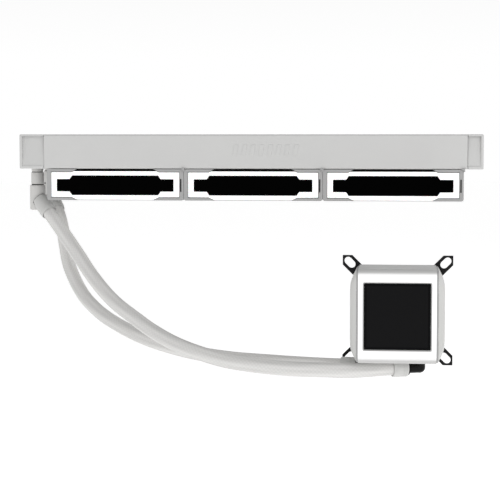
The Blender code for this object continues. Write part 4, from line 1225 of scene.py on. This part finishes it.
# Cold plate: copper, face-milled in fine rings and left bare, with skived fins inside and a
# countersunk screw at each corner and side.
copper, tree, shader = new_material("face_milled_copper", {"Metallic": 1.0, "Roughness": 0.28})
where = add_node(tree, "ShaderNodeTexCoord").outputs["Object"]
centred = add_node(
    tree, "ShaderNodeMapping", {"Vector": where, "Location": (-PUMP_X * MM, 0.0, -PUMP_Z * MM)}
)
milling = add_node(
    tree, "ShaderNodeTexWave", {
        "Vector": centred.outputs[0], "Scale": math.tau / (20 * 0.0008), "Distortion": 0.3
    },
    wave_type="RINGS", rings_direction="Y",
)
cloud = add_node(tree, "ShaderNodeTexNoise", {"Vector": where, "Scale": 70.0, "Detail": 3.0})
tone = add_node(
    tree, "ShaderNodeMix", {
        "Factor": cloud.outputs["Fac"], "A": linear("#C88462"), "B": linear("#B06A48")
    }, data_type="RGBA"
)
tree.links.new(tone.outputs["Result"], shader.inputs["Base Color"])
bump = add_node(
    tree, "ShaderNodeBump", {"Height": milling.outputs["Fac"], "Strength": 0.4, "Distance": 0.00001}
)
tree.links.new(bump.outputs[0], shader.inputs["Normal"])

cold = plate("cold_plate_slab", [square_outline(28.0, 5.0, 8)], 0.0, 3.2, in_head)
plate_screw_spots = [(x, z) for x in (-24.5, 0.0, 24.5) for z in (-24.5, 0.0, 24.5) if (x, z) != (0.0, 0.0)]
sinks = [
    turned(f"sink_{x}_{z}", [(0, -0.5), (2.1, -0.5), (1.9, 1.4), (0, 1.4)], in_head(x, z, 0), (0, -1, 0), 24)
    for x, z in plate_screw_spots
]
carved(cold, *sinks)
eased(flattened(cold), 0.4, 2, 40)
micro_fin = block("micro_fins", in_head(-14.0, -14.0, 6.2), in_head(-13.75, 14.0, 3.1))
grown(micro_fin, row_tree, {"Count": 56, "First": (0.0, 0.0, 0.0), "Step": (0.505 * MM, 0.0, 0.0)})
dress(micro_fin, copper, "pump_head", "copper")
dress(cold, copper, "pump_head", "copper", "cold_plate")

screw_tree, given, made = node_tree("screws_on_points", {"Turn": (0.0, 0.0, 0.0)})
screw_tree.interface.new_socket(name="Screw", in_out="INPUT", socket_type="NodeSocketObject")
source = add_node(screw_tree, "GeometryNodeObjectInfo", {"Object": given.outputs["Screw"]})
copies = add_node(
    screw_tree, "GeometryNodeInstanceOnPoints",
    {
        "Points": given.outputs["Geometry"], "Instance": source.outputs["Geometry"],
        "Rotation": given.outputs["Turn"]
    },
)
solid_copies = add_node(screw_tree, "GeometryNodeRealizeInstances", {0: copies.outputs[0]})
screw_finish = add_node(
    screw_tree, "GeometryNodeSetMaterial", {"Geometry": solid_copies.outputs[0], "Material": black_steel}
)
screw_tree.links.new(screw_finish.outputs[0], made.inputs[0])


def screws_at(name, screw, spots):
    points = bpy.data.meshes.new(name)
    points.from_pydata([tuple(Vector(spot) * MM) for spot in spots], [], [])
    piece = grown(new_piece(name, points), screw_tree, {"Screw": screw})
    bpy.data.objects.remove(screw)
    return piece


small_screw = turned(
    "small_screw", [
        (0, 0.7), (0.8, 0.7), (0.95, 0.15), (1.75, 0.15), (1.7, 1.2), (0, 1.2)
    ], (0, 0, 0), (0, -1, 0), 24
)
plate_screws = screws_at("cold_plate_screws", small_screw, [in_head(x, z, 0) for x, z in plate_screw_spots])
dress(plate_screws, black_steel, "pump_head", "black_steel")

# Bracket: pressed 1.6 mm steel, black, with a raised rim round each slot and four screws.
SCREW_SPOTS = [(31.9, 0), (0, 31.9), (-31.9, 0), (0, -31.9)]
EAR_CENTRE, EAR_HALF, EAR_REACH, RING = 38.8, 5.5, 44.7, 36.0


def outward(corner, along, across):
    turn = math.radians(corner)
    return (
        along * math.cos(turn) - across * math.sin(turn),
        along * math.sin(turn) + across * math.cos(turn),
    )


def slot_outline(corner, radius):
    middle = EAR_CENTRE * math.sqrt(2)
    ends = arc((middle + 2.05, 0), radius, -90, 90, 12) + arc((middle - 2.05, 0), radius, 90, 270, 12)
    return [outward(corner, along, across) for along, across in ends]


bracket_edge, bracket_holes = [], [ring_outline((0, 0), 29.4, 96)]
spread = math.degrees(math.asin(EAR_HALF / RING))
reach = EAR_REACH * math.sqrt(2)
for corner in (45, 135, 225, 315):
    bracket_edge += arc((0, 0), RING, corner - 90 + spread, corner - spread, 16)
    bracket_edge += [
        outward(corner, reach - EAR_HALF, -EAR_HALF), outward(corner, reach, 0.0),
        outward(corner, reach - EAR_HALF, EAR_HALF)
    ]
    bracket_holes.append(slot_outline(corner, 3.05))
for spot in SCREW_SPOTS:
    bracket_holes.append(ring_outline(spot, 1.7, 20))
bracket = plate("bracket_plate", [bracket_edge] + bracket_holes, 10.0, 11.6, in_head)
eased(bracket, 0.3, 2, 35)
for corner in (45, 135, 225, 315):
    rim = plate(
        f"slot_rim_{corner}", [slot_outline(corner, 4.4), slot_outline(corner, 3.15)], 11.3, 12.1, in_head
    )
    carved(bracket, eased(rim, 0.15, 1), operation="UNION")
dress(bracket, black_steel, "pump_head", "black_steel", "mounting_bracket")
head_screw = turned(
    "head_screw",
    [
        (0, 9.0), (1.0, 9.0), (1.2, 8.0), (2.1, 8.0), (2.5, 8.4), (2.5, 9.7), (1.2, 9.7), (1.2, 14.1),
        (0, 14.1)
    ],
    (0, 0, 0), (0, -1, 0), 32,
)
bracket_screws = screws_at("bracket_screws", head_screw, [in_head(x, z, 0) for x, z in SCREW_SPOTS])
dress(bracket_screws, black_steel, "pump_head", "black_steel", *(f"bracket_screw_{i}" for i in range(1, 5)))

# Pump elbows: black nickel plated, polished, bent down and to the left under the head, each
# with a flange; a moulded collar holds the hose on.
black_nickel = grained("black_nickel_plate", "#050505", 0.16, 3.0, 0.002, 0.05, {"Specular IOR Level": 0.15})
for side, (corner, angle) in PUMP_ENDS.items():
    away = Vector((-math.cos(angle), -math.sin(angle), 0.0))
    elbow = turned(f"{side}_plated_elbow", [(0, 0), (4.7, 0), (4.7, 13.3), (0, 13.3)], corner, (0, 0, 1), 48)
    ball = [(4.7 * math.sin(math.radians(a)), -4.7 * math.cos(math.radians(a))) for a in range(10, 180, 10)]
    arm = turned(f"{side}_arm", [(0, 0), (4.6, 0), (4.6, 16.2), (0, 16.2)], corner, away, 48)
    knee = turned(f"{side}_knee", [(0, -4.7)] + ball + [(0, 4.7)], corner, away, 48)
    flange = turned(
        f"{side}_flange", [(0, 9.6), (5.8, 9.6), (6.2, 9.9), (6.2, 10.6), (5.9, 10.9), (0, 10.9)], corner,
        away, 48
    )
    carved(elbow, arm, knee, flange, operation="UNION")
    dress(elbow, black_nickel, "pump_head", "black_steel", f"{side}_pump_elbow")
    grip = [
        (6.6, 11.2), (7.0, 11.2), (7.3, 11.5), (7.3, 13.0), (7.0, 13.25), (7.3, 13.5), (7.3, 15.0),
        (7.0, 15.25)
    ]
    grip += [(7.3, 15.5), (7.3, 23.0), (6.9, 23.6), (6.6, 23.6)]
    collar = turned(f"{side}_pump_end_collar", grip, corner, away, 56)
    dress(collar, white_abs, "pump_head", "white_plastic", f"{side}_pump_collar")
